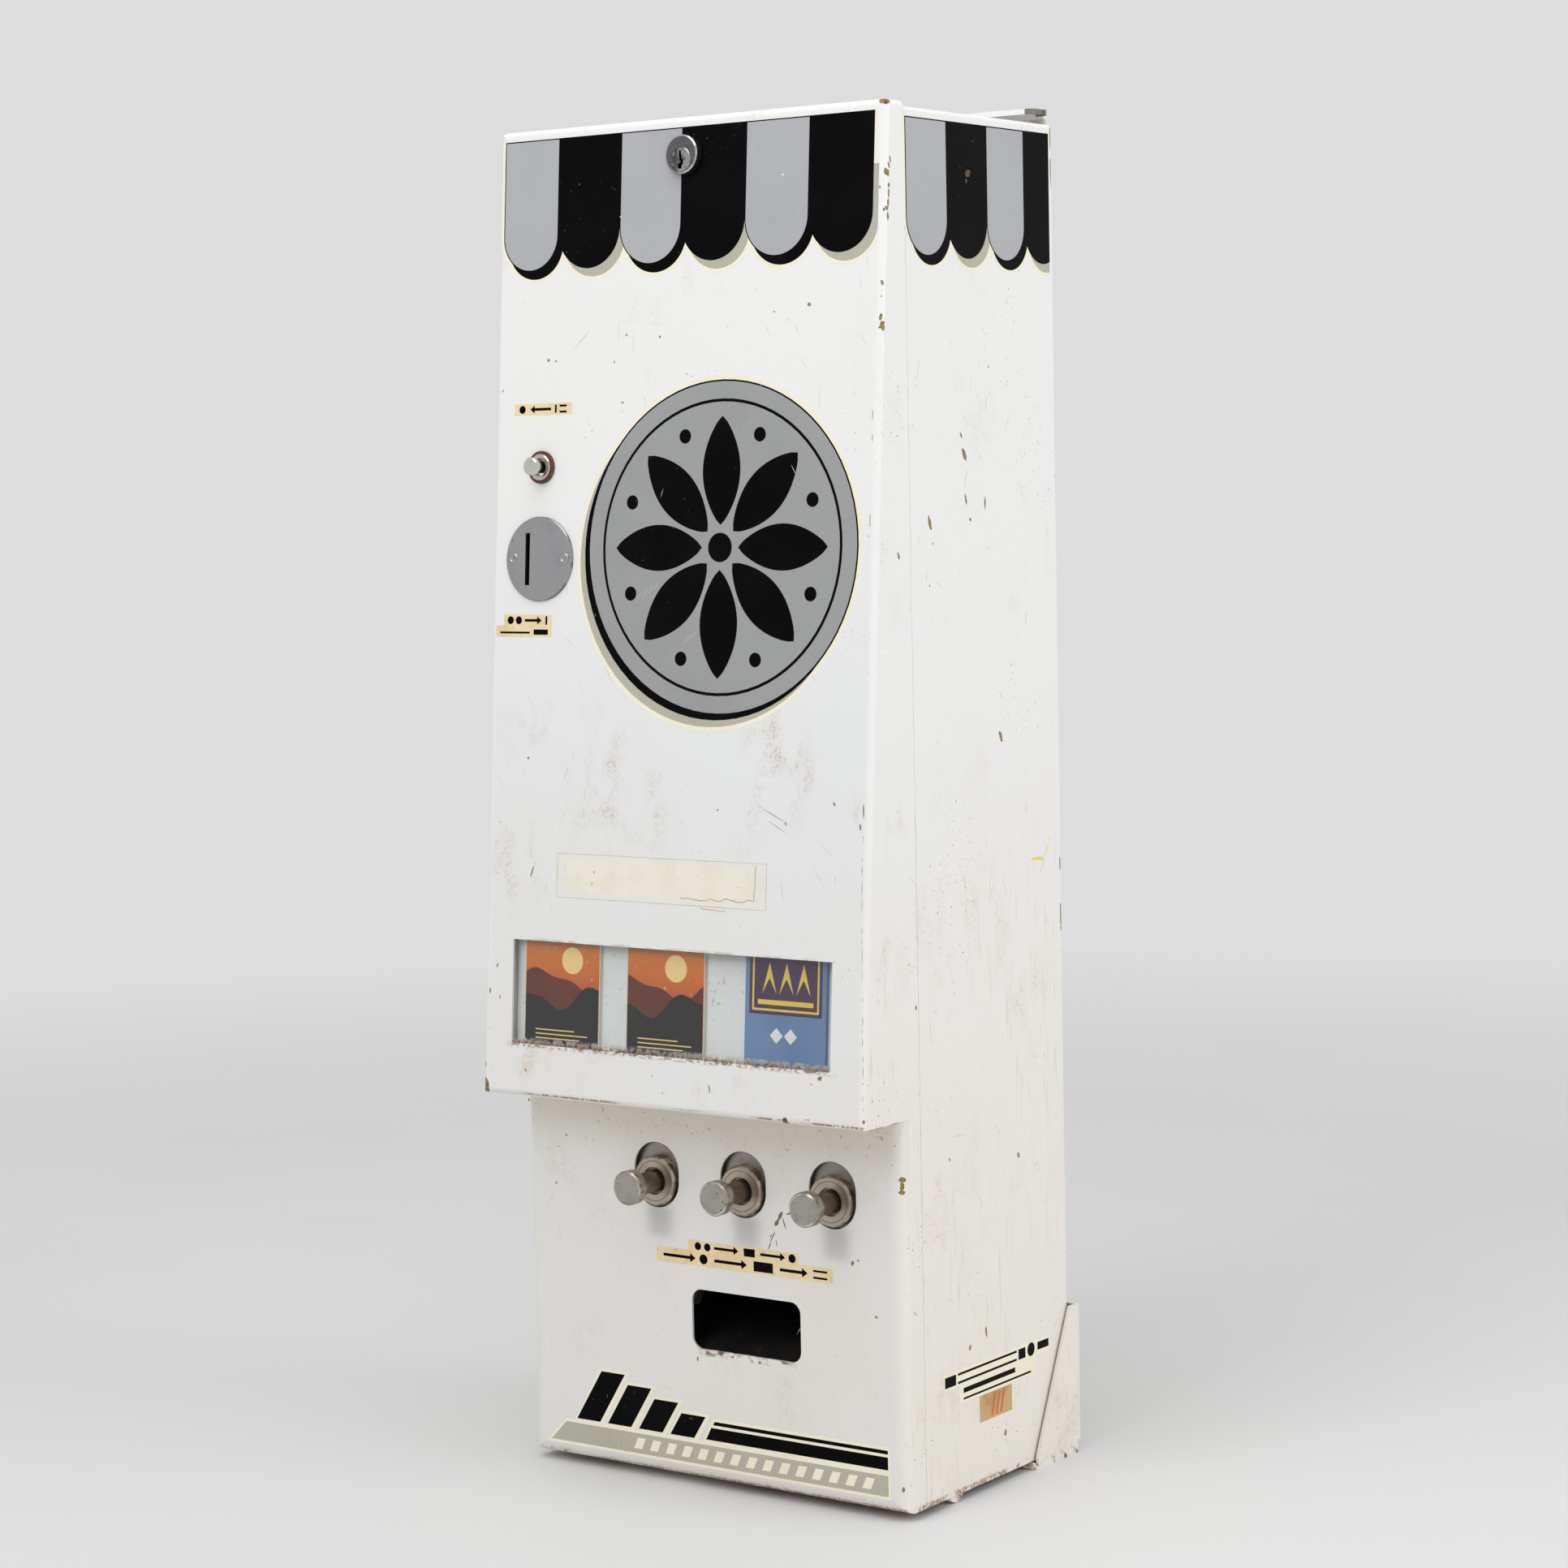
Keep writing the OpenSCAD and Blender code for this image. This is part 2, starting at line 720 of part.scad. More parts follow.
// Sloping chute that gathers the packs from three columns to the opening
module delivery_chute() {
    yf = y_face + sheet_t + 1;
    zf = foot_h + delivery_h0 - delivery_h / 2 - 2;
    zr = z_shelf - 20;
    fx = delivery_w / 2 + 2;
    wall = 16;
    t = 1.5;
    outline = [
        [x_left, y_wall],
        [x_left, y_wall - 52],
        [column_x - fx, yf],
        [column_x + fx, yf],
        [x_right, y_wall - 52],
        [x_right, y_wall]
    ];
    inner = [
        [x_left + t, y_wall + 1],
        [x_left + t, y_wall - 52.6],
        [column_x - fx + t, yf - 1],
        [column_x + fx - t, yf - 1],
        [x_right - t, y_wall - 52.6],
        [x_right - t, y_wall + 1]
    ];
    color("darkgray") difference() {
        intersection() {
            linear_extrude(z_ledge) polygon(outline);
            across(-cover_w, cover_w) polygon([
                [yf, zf - t],
                [y_wall, zr - t],
                [y_wall, zr + wall],
                [yf, zf + wall]
            ]);
        }
        intersection() {
            linear_extrude(z_ledge) polygon(inner);
            across(-cover_w, cover_w) polygon([
                [yf - 1, zf],
                [y_wall + 1, zr],
                [y_wall + 1, zr + wall + 60],
                [yf - 1, zf + wall + 60]
            ]);
        }
    }
}

// Flat tube that leads a coin on edge from the selector to the cash box
module coin_tube() {
    x0 = x_slot - coin_gap / 2;
    x1 = x_slot + coin_gap / 2;
    z_bend = z_button - 20;
    y_out = y_hinge + 22;
    z_out = 84;
    color("lightgray") difference() {
        union() {
            across(x0 - tube_t, x1 + tube_t) polygon([
                [y_tube0 - tube_t, z_tube1],
                [y_tube1 + tube_t, z_tube1],
                [y_tube1 + tube_t, z_bend + 1],
                [y_out + coin_run + tube_t, z_out + 10],
                [y_out + coin_run + tube_t, z_out],
                [y_out - tube_t, z_out],
                [y_tube0 - tube_t, z_bend - 13]
            ]);
            // Bracket to the left frame side
            block([x1, y_tube0 + 12, z_frame1 - 12], [x_left - frame_t, y_tube0 + 14, z_frame1 - 2]);
            block([x_left - 2 * frame_t, y_tube0 + 12, z_frame1 - 20],
                [x_left - frame_t, y_tube0 + 28, z_frame1 - 2]);
        }
        across(x0, x1) polygon([
            [y_tube0, z_tube1 + 1],
            [y_tube1, z_tube1 + 1],
            [y_tube1, z_bend],
            [y_out + coin_run, z_out + 9],
            [y_out + coin_run, z_out - 1],
            [y_out, z_out - 1],
            [y_tube0, z_bend - 12]
        ]);
        // Window for the coin lever's finger
        block([x_slot, y_bar - 28, z_bar - 16], [x1 + tube_t + 1, y_bar - 8, z_bar + 6]);
    }
}

// Open cash box with a strap handle in front
module cash_box() {
    y0 = y_hinge + 14;
    y1 = y_wall - 20;
    z0 = 2 * plate_t;
    z1 = 72;
    x1 = knuckle_x1 - 3;
    t = 1.2;
    color("silver") union() {
        difference() {
            block([-x1, y0, z0], [x1, y1, z1]);
            block([-x1 + t, y0 + t, z0 + t], [x1 - t, y1 - t, z1 + 1]);
        }
        difference() {
            block([-32, y0 - 18, 44], [32, y0 + t, 56]);
            block([-30, y0 - 16, 43], [30, y0, 57]);
        }
    }
}

// Channel arm from the back plate with a raised tab that the lock's cam grips
module striker() {
    z0 = z_plug - cam_l - 7;
    yc = hood_y(z_plug) + cam_y * cos(hood_a) - cam_l * sin(hood_a) - 1.5;
    color("lightgray") union() {
        block([-12, yc - 3, z0], [12, y_wall, z0 + 2]);
        block([-12, yc - 3, z0], [12, yc, z0 + 24]);
        block([-12, y_wall - 2, z0], [12, y_wall, z0 + 28]);
        for (s = [-1, 1]) {
            block([s * 11 - 1, yc - 3, z0 - 10], [s * 11 + 1, y_wall, z0 + 1]);
        }
    }
}

// Cross bar with pawls that drop behind the stop rings until a coin has passed
module release_bar() {
    x0 = x_slot + coin_gap / 2 + tube_t + 2;
    color("silver") rod_x(bar_r, x0, x_right + frame_t + 4, y_bar, z_bar);
}

module release_pawls() {
    z_tip = z_button + ring_r + 1.2;
    y_tip = y_ring + ring_t + 1;
    color("darkgray") for (i = [-1, 0, 1]) {
        difference() {
            union() {
                rod_x(bar_r + 3, col_x(i) - 5, col_x(i) + 5, y_bar, z_bar);
                across(col_x(i) - 1.5, col_x(i) + 1.5) polygon([
                    [y_bar + 2, z_bar + 5],
                    [y_bar + 2, z_bar - 5],
                    [y_tip + 5, z_tip],
                    [y_tip, z_tip],
                    [y_tip, z_tip + 6]
                ]);
            }
            rod_x(bar_r, col_x(i) - 6, col_x(i) + 6, y_bar, z_bar);
        }
    }
}

module coin_lever() {
    x0 = x_slot + coin_gap / 2 + tube_t + 3;
    color("darkgray") difference() {
        union() {
            rod_x(bar_r + 3, x0, x0 + 8, y_bar, z_bar);
            across(x0, x0 + 2.5) polygon([
                [y_bar + 2, z_bar + 5],
                [y_bar + 2, z_bar - 5],
                [y_bar - 20, z_bar - 9],
                [y_bar - 21, z_bar - 3]
            ]);
            rod_x(1.5, x_slot - 1, x0 + 1, y_bar - 18, z_bar - 5.5);
        }
        rod_x(bar_r, x0 - 1, x0 + 9, y_bar, z_bar);
    }
}

// Push button: bevelled head, stem through the collar and a thinner tail
module button(i) {
    y0 = y_face - button_out;
    y_tail = y_mag0 - 3.5;
    color("silver") translate([col_x(i), y0, z_button]) rotate([-90, 0, 0]) rotate_extrude() polygon([
        [0, 0],
        [head_r - 1, 0],
        [head_r, 1],
        [head_r, head_l - 1.5],
        [head_r - 1, head_l - 0.5],
        [stem_r + 0.8, head_l],
        [stem_r, head_l + 1],
        [stem_r, y_ring - y0],
        [tail_r, y_ring - y0],
        [tail_r, y_tail - y0],
        [3, y_tail - y0],
        [3, y_tail + 3 - y0],
        [0, y_tail + 3 - y0]
    ]);
}

module button_left() {
    button(-1);
}

module button_middle() {
    button(0);
}

module button_right() {
    button(1);
}

// Stop ring on the shoulder of the stem
module stop_ring(i) {
    color("gray") difference() {
        rod_y(ring_r, y_ring, y_ring + ring_t, col_x(i), z_button);
        rod_y(tail_r + run_fit, y_ring - 1, y_ring + ring_t + 1, col_x(i), z_button);
    }
}

module stop_ring_left() {
    stop_ring(-1);
}

module stop_ring_middle() {
    stop_ring(0);
}

module stop_ring_right() {
    stop_ring(1);
}

// Directions along a wire's path and the ring of points around it
function unit(v) = v / norm(v);
function path_dir(p, i) = unit(p[min(i + 1, len(p) - 1)] - p[max(i - 1, 0)]);
function side_dir(c, t) = let (n = unit([c[0], 0, c[2]])) unit(n - (n * t) * t);
function wire_ring(p, i) = let (t = path_dir(p, i), n = side_dir(p[i], t), b = cross(t, n))
    [for (j = [0:5]) p[i] + wire_r * (cos(60 * j) * n + sin(60 * j) * b)];

module spring(i) {
    m = len(spring_path);
    points = [for (k = [0:m - 1]) each wire_ring(spring_path, k)];
    sides = [for (k = [0:m - 2]) for (j = [0:5]) each [
        [6 * k + j, 6 * k + 6 + j, 6 * k + (j + 1) % 6],
        [6 * k + (j + 1) % 6, 6 * k + 6 + j, 6 * k + 6 + (j + 1) % 6]
    ]];
    near = [for (j = [1:4]) [0, j, j + 1]];
    far = [for (j = [1:4]) [6 * m - 6, 6 * m - 6 + j + 1, 6 * m - 6 + j]];
    color("dimgray") translate([col_x(i), y_ring + ring_t, z_button])
        polyhedron(points = points, faces = concat(sides, near, far));
}

module spring_left() {
    spring(-1);
}

module spring_middle() {
    spring(0);
}

module spring_right() {
    spring(1);
}

// Plate on the stem's tail that shoves the lowest pack off the front ledge
module pusher(i) {
    y0 = y_mag0 - 3.5;
    color("darkgray") difference() {
        block([col_x(i) - 23, y0, z_shelf + 1], [col_x(i) + 23, y0 + 3, z_shelf + pack_t - 1]);
        rod_y(3, y0 - 1, y0 + 4, col_x(i), z_button);
    }
}

module pusher_left() {
    pusher(-1);
}

module pusher_middle() {
    pusher(0);
}

module pusher_right() {
    pusher(1);
}

// Follower weight on a stack of packs; its feet let the pusher pass when a column is empty
module follower(i) {
    w = mag_in / 2 - 2.5;
    ya = y_mag0 + 2;
    yb = y_mag1 - 2;
    z0 = z_shelf + 0.2;
    z1 = z_mag0 + 1;
    color("slategray") translate([col_x(i), 0, 0]) {
        block([-w, ya, z1], [w, yb, z1 + 12]);
        block([-w, yb - 8, z0], [w, yb, z1 + 1]);
        for (s = [-1, 1]) {
            mirror([s < 0 ? 1 : 0, 0, 0]) block([w - 3, ya, z0], [w, ya + 8, z1 + 1]);
        }
        rod_x(6, -1.5, 1.5, (ya + yb) / 2, z1 + 12);
    }
}

module follower_left() {
    follower(-1);
}

module follower_middle() {
    follower(0);
}

module follower_right() {
    follower(1);
}

// Pane behind the window, held by a tray with the display card and three sample packs
module window_pane() {
    color("lightblue", 0.4) on_hood(window_x, z_window)
        block([-window_w / 2 - pane_rim, sheet_t, -window_h / 2 - pane_rim],
            [window_w / 2 + pane_rim, sheet_t + pane_t, window_h / 2 + pane_rim]);
}

module display_tray() {
    w = window_w / 2;
    h = window_h / 2;
    p = pane_rim + 0.1;
    color("lightgray") on_hood(window_x, z_window) difference() {
        block([-w - tray_rim, sheet_t, -h - tray_rim], [w + tray_rim, card_y + 2, h + tray_rim]);
        block([-w - p, sheet_t - 1, -h - p], [w + p, sheet_t + pane_t, h + p]);
        block([-w - card_rim, sheet_t, -h - card_rim], [w + card_rim, card_y + 1, h + card_rim]);
    }
}

module display_card() {
    color("whitesmoke") on_hood(window_x, z_window)
        block([-window_w / 2 - 0.7 * card_rim, card_y, -window_h / 2 - card_rim],
            [window_w / 2 + 0.7 * card_rim, card_y + 1, window_h / 2 + 0.7 * card_rim]);
}

module sample_pack(x) {
    on_hood(window_x, z_window) translate([x, 0, 0])
        block([-sample_w / 2, card_y - sample_t, -window_h / 2 - card_rim],
            [sample_w / 2, card_y, window_h / 2 + 0.7 * card_rim]);
}

module sample_pack_left() {
    color("orange") sample_pack(sample_x[0]);
}

module sample_pack_middle() {
    color("orange") sample_pack(sample_x[1]);
}

module sample_pack_right() {
    color("steelblue") sample_pack(sample_x[2]);
}

// Round coin plate with its upright slot
module coin_plate() {
    r = coin_plate_r;
    color("silver") on_hood(coin_x, z_coin) difference() {
        rotate([-90, 0, 0]) rotate_extrude() polygon([
            [0, -1.8],
            [r - 0.8, -1.8],
            [r, -1],
            [r, 0],
            [0, 0]
        ]);
        block([-slot_dx - slot_w / 2, -3, -slot_l / 2], [-slot_dx + slot_w / 2, 1, slot_l / 2]);
        for (s = [-1, 1]) {
            rod_y(1.6, -3, 1, s * (r - 5.9));
        }
    }
}

module coin_plate_rivets() {
    color("silver") on_hood(coin_x, z_coin) for (s = [-1, 1]) {
        translate([s * (coin_plate_r - 5.9), 0, 0]) {
            rod_y(1.5, -1.9, sheet_t + 1);
            // Low head with a dished middle
            rotate([-90, 0, 0]) rotate_extrude() polygon([
                [0, -2],
                [1, -2],
                [1.8, -2.3],
                [3, -2.3],
                [3.6, -1.9],
                [3.6, -1.8],
                [0, -1.8]
            ]);
            rod_y(2.4, sheet_t, sheet_t + 1.2);
        }
    }
}

// Coin selector: two plates with the coin's path between them
module coin_selector() {
    g = coin_gap / 2;
    top = 22;
    low = -71;
    color("gainsboro") on_hood(x_slot, z_coin) difference() {
        across(-g - selector_t, g + selector_t) polygon([
            [sheet_t, -coin_run / 2 - 3],
            [sheet_t, coin_run / 2 + 3],
            [14, top],
            [lever_y - 9, top],
            [lever_y - 6, lever_z + 6],
            [lever_y + 6, lever_z + 6],
            [lever_y + 9, top],
            [66, top],
            [66, low],
            [27, low],
            [10, -coin_run / 2 - 10]
        ]);
        // Coin path, open at the slot, at the outlet and at the top around the lever
        across(-g, g) polygon([
            [sheet_t - 1, -coin_run / 2],
            [sheet_t - 1, coin_run / 2],
            [16, top - 4],
            [lever_y - 14, top - 4],
            [lever_y - 14, lever_z + 9],
            [lever_y + 12, lever_z + 9],
            [lever_y + 12, top - 4],
            [62, top - 14],
            [62, low - 1],
            [30, low - 1],
            [30, low + 18],
            [14, -coin_run / 2 - 2]
        ]);
        rod_x(pin_r, -20, 20, lever_y, lever_z);
    }
}

module lever_pin() {
    g = coin_gap / 2;
    color("silver") on_hood(x_slot, z_coin)
        rod_x(pin_r, -g - selector_t - 1, g + selector_t + 1, lever_y, lever_z);
}

// Lever that the return plunger tips to clear a jammed coin
module reject_lever() {
    z_push = return_dz / cos(hood_a);
    t = coin_gap / 2 - 0.4;
    color("darkgray") on_hood(x_slot, z_coin) difference() {
        union() {
            rod_x(pin_r + 2.5, -t, t, lever_y, lever_z);
            block([-t, lever_y - 2, lever_z - 26], [t, lever_y + 2, z_push + 7]);
            block([-t, lever_y - 2, z_push - 6], [slot_dx + 7, lever_y, z_push + 7]);
        }
        rod_x(pin_r + run_fit, -20, 20, lever_y, lever_z);
    }
}

// Bush, fibre washer, nut and plunger of the coin return
module return_bush() {
    color("silver") on_hood(coin_x, z_return) difference() {
        union() {
            rotate([-90, 0, 0]) rotate_extrude() polygon([
                [0, -3],
                [plunger_r + 1.8, -3],
                [plunger_r + 2.5, -2.3],
                [plunger_r + 2.5, -1.5],
                [0, -1.5]
            ]);
            rod_y(plunger_r + 1.6, -2, 12);
        }
        rod_y(plunger_r + run_fit, -4, 13);
    }
}

module fibre_washer() {
    color("sienna") on_hood(coin_x, z_return) difference() {
        rod_y(washer_r, -1.5, 0);
        rod_y(plunger_r + 1.7, -2, 1);
    }
}

module bush_nut() {
    color("silver") on_hood(coin_x, z_return) difference() {
        hex_y(plunger_r + 5.4, sheet_t, sheet_t + 4.5);
        rod_y(plunger_r + 1.65, sheet_t - 1, sheet_t + 6);
    }
}

module return_plunger() {
    r = plunger_r;
    y_end = lever_y - 2.5;
    color("silver") on_hood(coin_x, z_return) rotate([-90, 0, 0]) rotate_extrude() polygon([
        [0, -plunger_out],
        [r - 0.8, -plunger_out],
        [r, -plunger_out + 0.8],
        [r, -plunger_out + 3.4],
        [r - 0.4, -plunger_out + 3.8],
        [neck_r, -plunger_out + 3.8],
        [neck_r, 4],
        [r, 4],
        [r, 12.4],
        [r + 1.3, 12.4],
        [r + 1.3, 14],
        [3, 14],
        [3, y_end - 2],
        [1.5, y_end],
        [0, y_end]
    ]);
}

// Lock: case with rosette, nut, turning plug with its keyway, and the cam
module lock_case() {
    color("silver") on_hood(0, z_lock) difference() {
        union() {
            rotate([-90, 0, 0]) rotate_extrude() polygon([
                [0, -lock_proud],
                [lock_r - 0.9, -lock_proud],
                [lock_r, 0.9 - lock_proud],
                [lock_r, 0],
                [0, 0]
            ]);
            rod_y(barrel_r, -1, cam_y - 0.5);
        }
        rod_y(plug_r + run_fit, -lock_proud - 1, cam_y + 1, 0, -plug_drop);
        rod_y(plug_head_r + run_fit, -lock_proud - 1, -1.4, 0, -plug_drop);
    }
}

module lock_nut() {
    color("silver") on_hood(0, z_lock) difference() {
        hex_y(barrel_r + 3.4, sheet_t, sheet_t + 5);
        rod_y(barrel_r + run_fit, sheet_t - 1, sheet_t + 6);
    }
}

module lock_plug() {
    color("gold") on_hood(0, z_lock) translate([0, 0, -plug_drop]) difference() {
        union() {
            rotate([-90, 0, 0]) rotate_extrude() polygon([
                [0, 0.2 - lock_proud],
                [1.5, 0.2 - lock_proud],
                [plug_head_r - 1, -lock_proud - 0.5],
                [plug_head_r - 0.5, -lock_proud - 0.5],
                [plug_head_r, -lock_proud],
                [plug_head_r, -1.7],
                [plug_r, -1.7],
                [plug_r, cam_y],
                [0, cam_y]
            ]);
            rod_y(3, cam_y - 1, cam_y + cam_t);
            rod_y(5, cam_y + cam_t, cam_y + cam_t + 2.5);
        }
        // Stepped keyway
        block([-1.1, -lock_proud - 1, -0.8], [0.4, 8, 5.3]);
        block([-0.2, -lock_proud - 1, -3.2], [1.8, 8, 0.2]);
        block([-1.5, -lock_proud - 1, -5.4], [1, 8, -2.2]);
    }
}

module lock_cam() {
    color("gray") on_hood(0, z_lock) translate([0, 0, -plug_drop]) difference() {
        union() {
            rod_y(8, cam_y, cam_y + cam_t);
            block([0, cam_y, -6], [cam_l, cam_y + cam_t, 6]);
        }
        rod_y(3 + run_fit, cam_y - 1, cam_y + cam_t + 1);
    }
}

back_plate();
base_tray();
hinge_rod();
tray_screws();
frame_side_left();
frame_side_right();
button_plate();
plate_screws();
collar_left();
collar_middle();
collar_right();
collar_nuts();
column_shelf();
column_left();
column_middle();
column_right();
column_rail_lower();
column_rail_upper();
delivery_chute();
coin_tube();
cash_box();
striker();
release_bar();
release_pawls();
coin_lever();
button_left();
button_middle();
button_right();
stop_ring_left();
stop_ring_middle();
stop_ring_right();
spring_left();
spring_middle();
spring_right();
pusher_left();
pusher_middle();
pusher_right();
follower_left();
follower_middle();
follower_right();
front_cover();
window_pane();
display_tray();
display_card();
sample_pack_left();
sample_pack_middle();
sample_pack_right();
coin_plate();
coin_plate_rivets();
coin_selector();
lever_pin();
reject_lever();
return_bush();
fibre_washer();
bush_nut();
return_plunger();
lock_case();
lock_nut();
lock_plug();
lock_cam();
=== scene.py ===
"""Looks of a wall-hung, coin-operated pack vending machine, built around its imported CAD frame."""

import random
from math import atan, atan2, cos, dist, pi, radians, sin, sqrt

import bmesh
import bpy
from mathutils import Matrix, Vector

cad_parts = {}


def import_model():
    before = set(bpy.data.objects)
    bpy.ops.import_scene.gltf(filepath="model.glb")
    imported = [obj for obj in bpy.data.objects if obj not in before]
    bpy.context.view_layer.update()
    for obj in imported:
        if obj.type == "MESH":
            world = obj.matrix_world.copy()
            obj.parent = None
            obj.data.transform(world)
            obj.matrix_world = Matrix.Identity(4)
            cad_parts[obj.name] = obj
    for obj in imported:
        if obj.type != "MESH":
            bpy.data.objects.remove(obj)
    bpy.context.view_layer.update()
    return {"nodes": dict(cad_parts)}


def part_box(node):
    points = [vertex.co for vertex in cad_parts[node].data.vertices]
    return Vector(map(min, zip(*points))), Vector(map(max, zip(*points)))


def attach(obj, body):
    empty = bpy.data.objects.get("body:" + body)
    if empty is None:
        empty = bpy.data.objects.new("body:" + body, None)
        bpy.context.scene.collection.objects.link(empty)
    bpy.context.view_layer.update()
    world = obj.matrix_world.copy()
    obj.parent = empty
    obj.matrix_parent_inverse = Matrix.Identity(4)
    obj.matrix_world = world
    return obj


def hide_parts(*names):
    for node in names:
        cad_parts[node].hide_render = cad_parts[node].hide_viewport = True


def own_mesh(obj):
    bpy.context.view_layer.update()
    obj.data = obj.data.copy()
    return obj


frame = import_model()

MM = 0.001

# Faces of the cover, in mm
SIDE_X = 140.0
FACE_Y = -75.0
HOOD_Y, HOOD_Z = -72.0, 816.5
HOOD_SLOPE = 42.3 / 580.3
HOOD_LEAN = atan(HOOD_SLOPE)
LEDGE_Y, LEDGE_Z, LEDGE_UNDER_Z = -112.0, 238.5, 236.0
BOTTOM_Z = 5.0
HOOD_R, CORNER_R = 4.0, 10.0
REAR_Y = 105.0

# Window, sample packs, buttons, delivery opening, coin entry, lock and springs, in mm
WINDOW_X, WINDOW_W = -0.8, 234.2
SILL_Z, HEAD_Z = 268.2, 331.0
PACK_U = {"left": -111.2, "middle": -33.6, "right": 53.0}
PACK_W, PACK_DEPTH = 57.0, 4.9
COLUMN_X, COLUMN_PITCH = 26.4, 64.3
BUTTON_Z = 185.2
MOUTH_Z = 84.5
COIN_X, COIN_Z = -103.0, 559.8
SLOT_X = COIN_X - 8.5
LOCK_X, LOCK_Z = 0.0, 793.9
SPRING_R, WIRE_R, SPRING_TURNS = 7.3, 0.8, 8

# Stickers: how far each sheet reaches into the face, and the step between sheets of one sticker
SHEET_SUNK, SHEET_STEP = 0.02, 0.002


def tone(red, green, blue):
    """A colour given as seen on a screen, 0 to 255, as a linear shader colour."""
    def linear(value):
        value /= 255
        return value / 12.92 if value <= 0.04045 else ((value + 0.055) / 1.055) ** 2.4
    return (linear(red), linear(green), linear(blue), 1.0)


# Shader helpers

class Wire:
    """A number made by shader nodes that can be used in plain arithmetic."""

    def __init__(self, nodes, socket):
        self.nodes, self.socket = nodes, socket

    def __add__(self, other):
        return self.nodes.math("ADD", self, other)

    def __sub__(self, other):
        return self.nodes.math("SUBTRACT", self, other)

    def __mul__(self, other):
        return self.nodes.math("MULTIPLY", self, other)

    def __abs__(self):
        return self.nodes.math("ABSOLUTE", self)

    def step(self, low, high):
        """0 at low and 1 at high, smooth between; low may be the larger one."""
        node = self.nodes.add("MapRange", Value=self, From_Min=low, From_Max=high)
        node.interpolation_type = "SMOOTHSTEP"
        return Wire(self.nodes, node.outputs["Result"])

    def near(self, centre, reach):
        """1 around centre, falling to 0 at reach."""
        return abs(self - centre).step(reach, reach * 0.5)


class Nodes:
    """The shader nodes of a material or world."""

    def __init__(self, owner):
        owner.use_nodes = True
        self.tree = owner.node_tree

    def feed(self, value, target):
        """Links a wire or socket to an input, or sets the input to a plain value."""
        source = value.socket if isinstance(value, Wire) else value
        if isinstance(source, bpy.types.NodeSocket):
            self.tree.links.new(source, target)
        else:
            target.default_value = source

    def fill(self, node, inputs):
        """Feeds inputs by name; _ in a name stands for a space."""
        for name, value in inputs.items():
            self.feed(value, node.inputs[name.replace("_", " ")])

    def add(self, kind, **inputs):
        node = self.tree.nodes.new("ShaderNode" + kind)
        self.fill(node, inputs)
        return node

    def math(self, operation, *values):
        node = self.add("Math")
        node.operation = operation
        for value, target in zip(values, node.inputs):
            self.feed(value, target)
        return Wire(self, node.outputs[0])

    def blend(self, share, first, second, output):
        """Sends two shaders to the output, the second one by its share."""
        node = self.add("MixShader")
        for value, target in zip((share, first.outputs[0], second.outputs[0]), node.inputs):
            self.feed(value, target)
        self.feed(node.outputs[0], self.tree.nodes[output].inputs["Surface"])


class Shade(Nodes):
    """A procedural material that is painted in layers."""

    def __init__(self, name, base):
        self.material = bpy.data.materials.new(name)
        super().__init__(self.material)
        self.surface = self.tree.nodes["Principled BSDF"]
        self.place = self.add("TexCoord").outputs["Object"]
        split = self.add("SeparateXYZ", Vector=self.place)
        self.x, self.y, self.z = (Wire(self, out) * (1 / MM) for out in split.outputs)
        self.colour = tone(*base)
        self.height = None

    def root(self, *parts):
        """Length of a vector given by its parts."""
        total = parts[0] * parts[0]
        for part in parts[1:]:
            total = total + part * part
        return self.math("SQRT", total)

    def noise(self, scale, detail, shift, stretch=(1, 1, 1)):
        """Cloudy noise around 0.5 with about that many features per metre."""
        mapping = self.add("Mapping", Vector=self.place, Scale=stretch,
                           Location=(shift, 0.7 * shift, 1.3 * shift))
        node = self.add("TexNoise", Vector=mapping.outputs[0], Scale=scale, Detail=detail)
        return Wire(self, node.outputs["Fac"])

    def spots(self, scale, detail, shift, low, high, stretch=(1, 1, 1)):
        """Noise as a mask that is 0 at low and 1 at high."""
        return self.noise(scale, detail, shift, stretch).step(low, high)

    def paint(self, mask, colour):
        """Lays a colour over what is there, where the mask is above 0."""
        node = self.add("Mix")
        node.data_type = "RGBA"
        node.clamp_factor = True
        self.feed(mask, node.inputs[0])
        self.feed(self.colour, node.inputs[6])
        self.feed(tone(*colour), node.inputs[7])
        self.colour = node.outputs[2]

    def emboss(self, height):
        """Adds to the relief, in mm."""
        self.height = height if self.height is None else self.height + height

    def done(self, roughness, metallic=0.0, **constants):
        """Connects colour, roughness and relief, and sets the shader's constants."""
        self.fill(self.surface, {"Base Color": self.colour, "Roughness": roughness,
                                 "Metallic": metallic, **constants})
        if self.height is not None:
            bump = self.add("Bump", Distance=MM, Height=self.height)
            self.feed(bump.outputs["Normal"], self.surface.inputs["Normal"])
        return self.material


def from_button(s):
    """Distance in X from the axis of the nearest push button."""
    return s.math("WRAP", s.x - COLUMN_X, COLUMN_PITCH / 2, -COLUMN_PITCH / 2)


# Materials: colours as seen on a screen, 0 to 255

BLACK = (0, 0, 0)
ENAMEL = (239, 239, 238)
AGED_AND_WARM_BOUNCE = (231, 221, 201)
GRIME_AND_SHADE = (168, 138, 104)
RUN = (194, 160, 92)
DUST = (188, 142, 86)
RUST = (112, 74, 42)
BARE = (134, 112, 66)
SOOT_AND_SHADOW = (84, 80, 74)
RUBBED = (150, 104, 64)

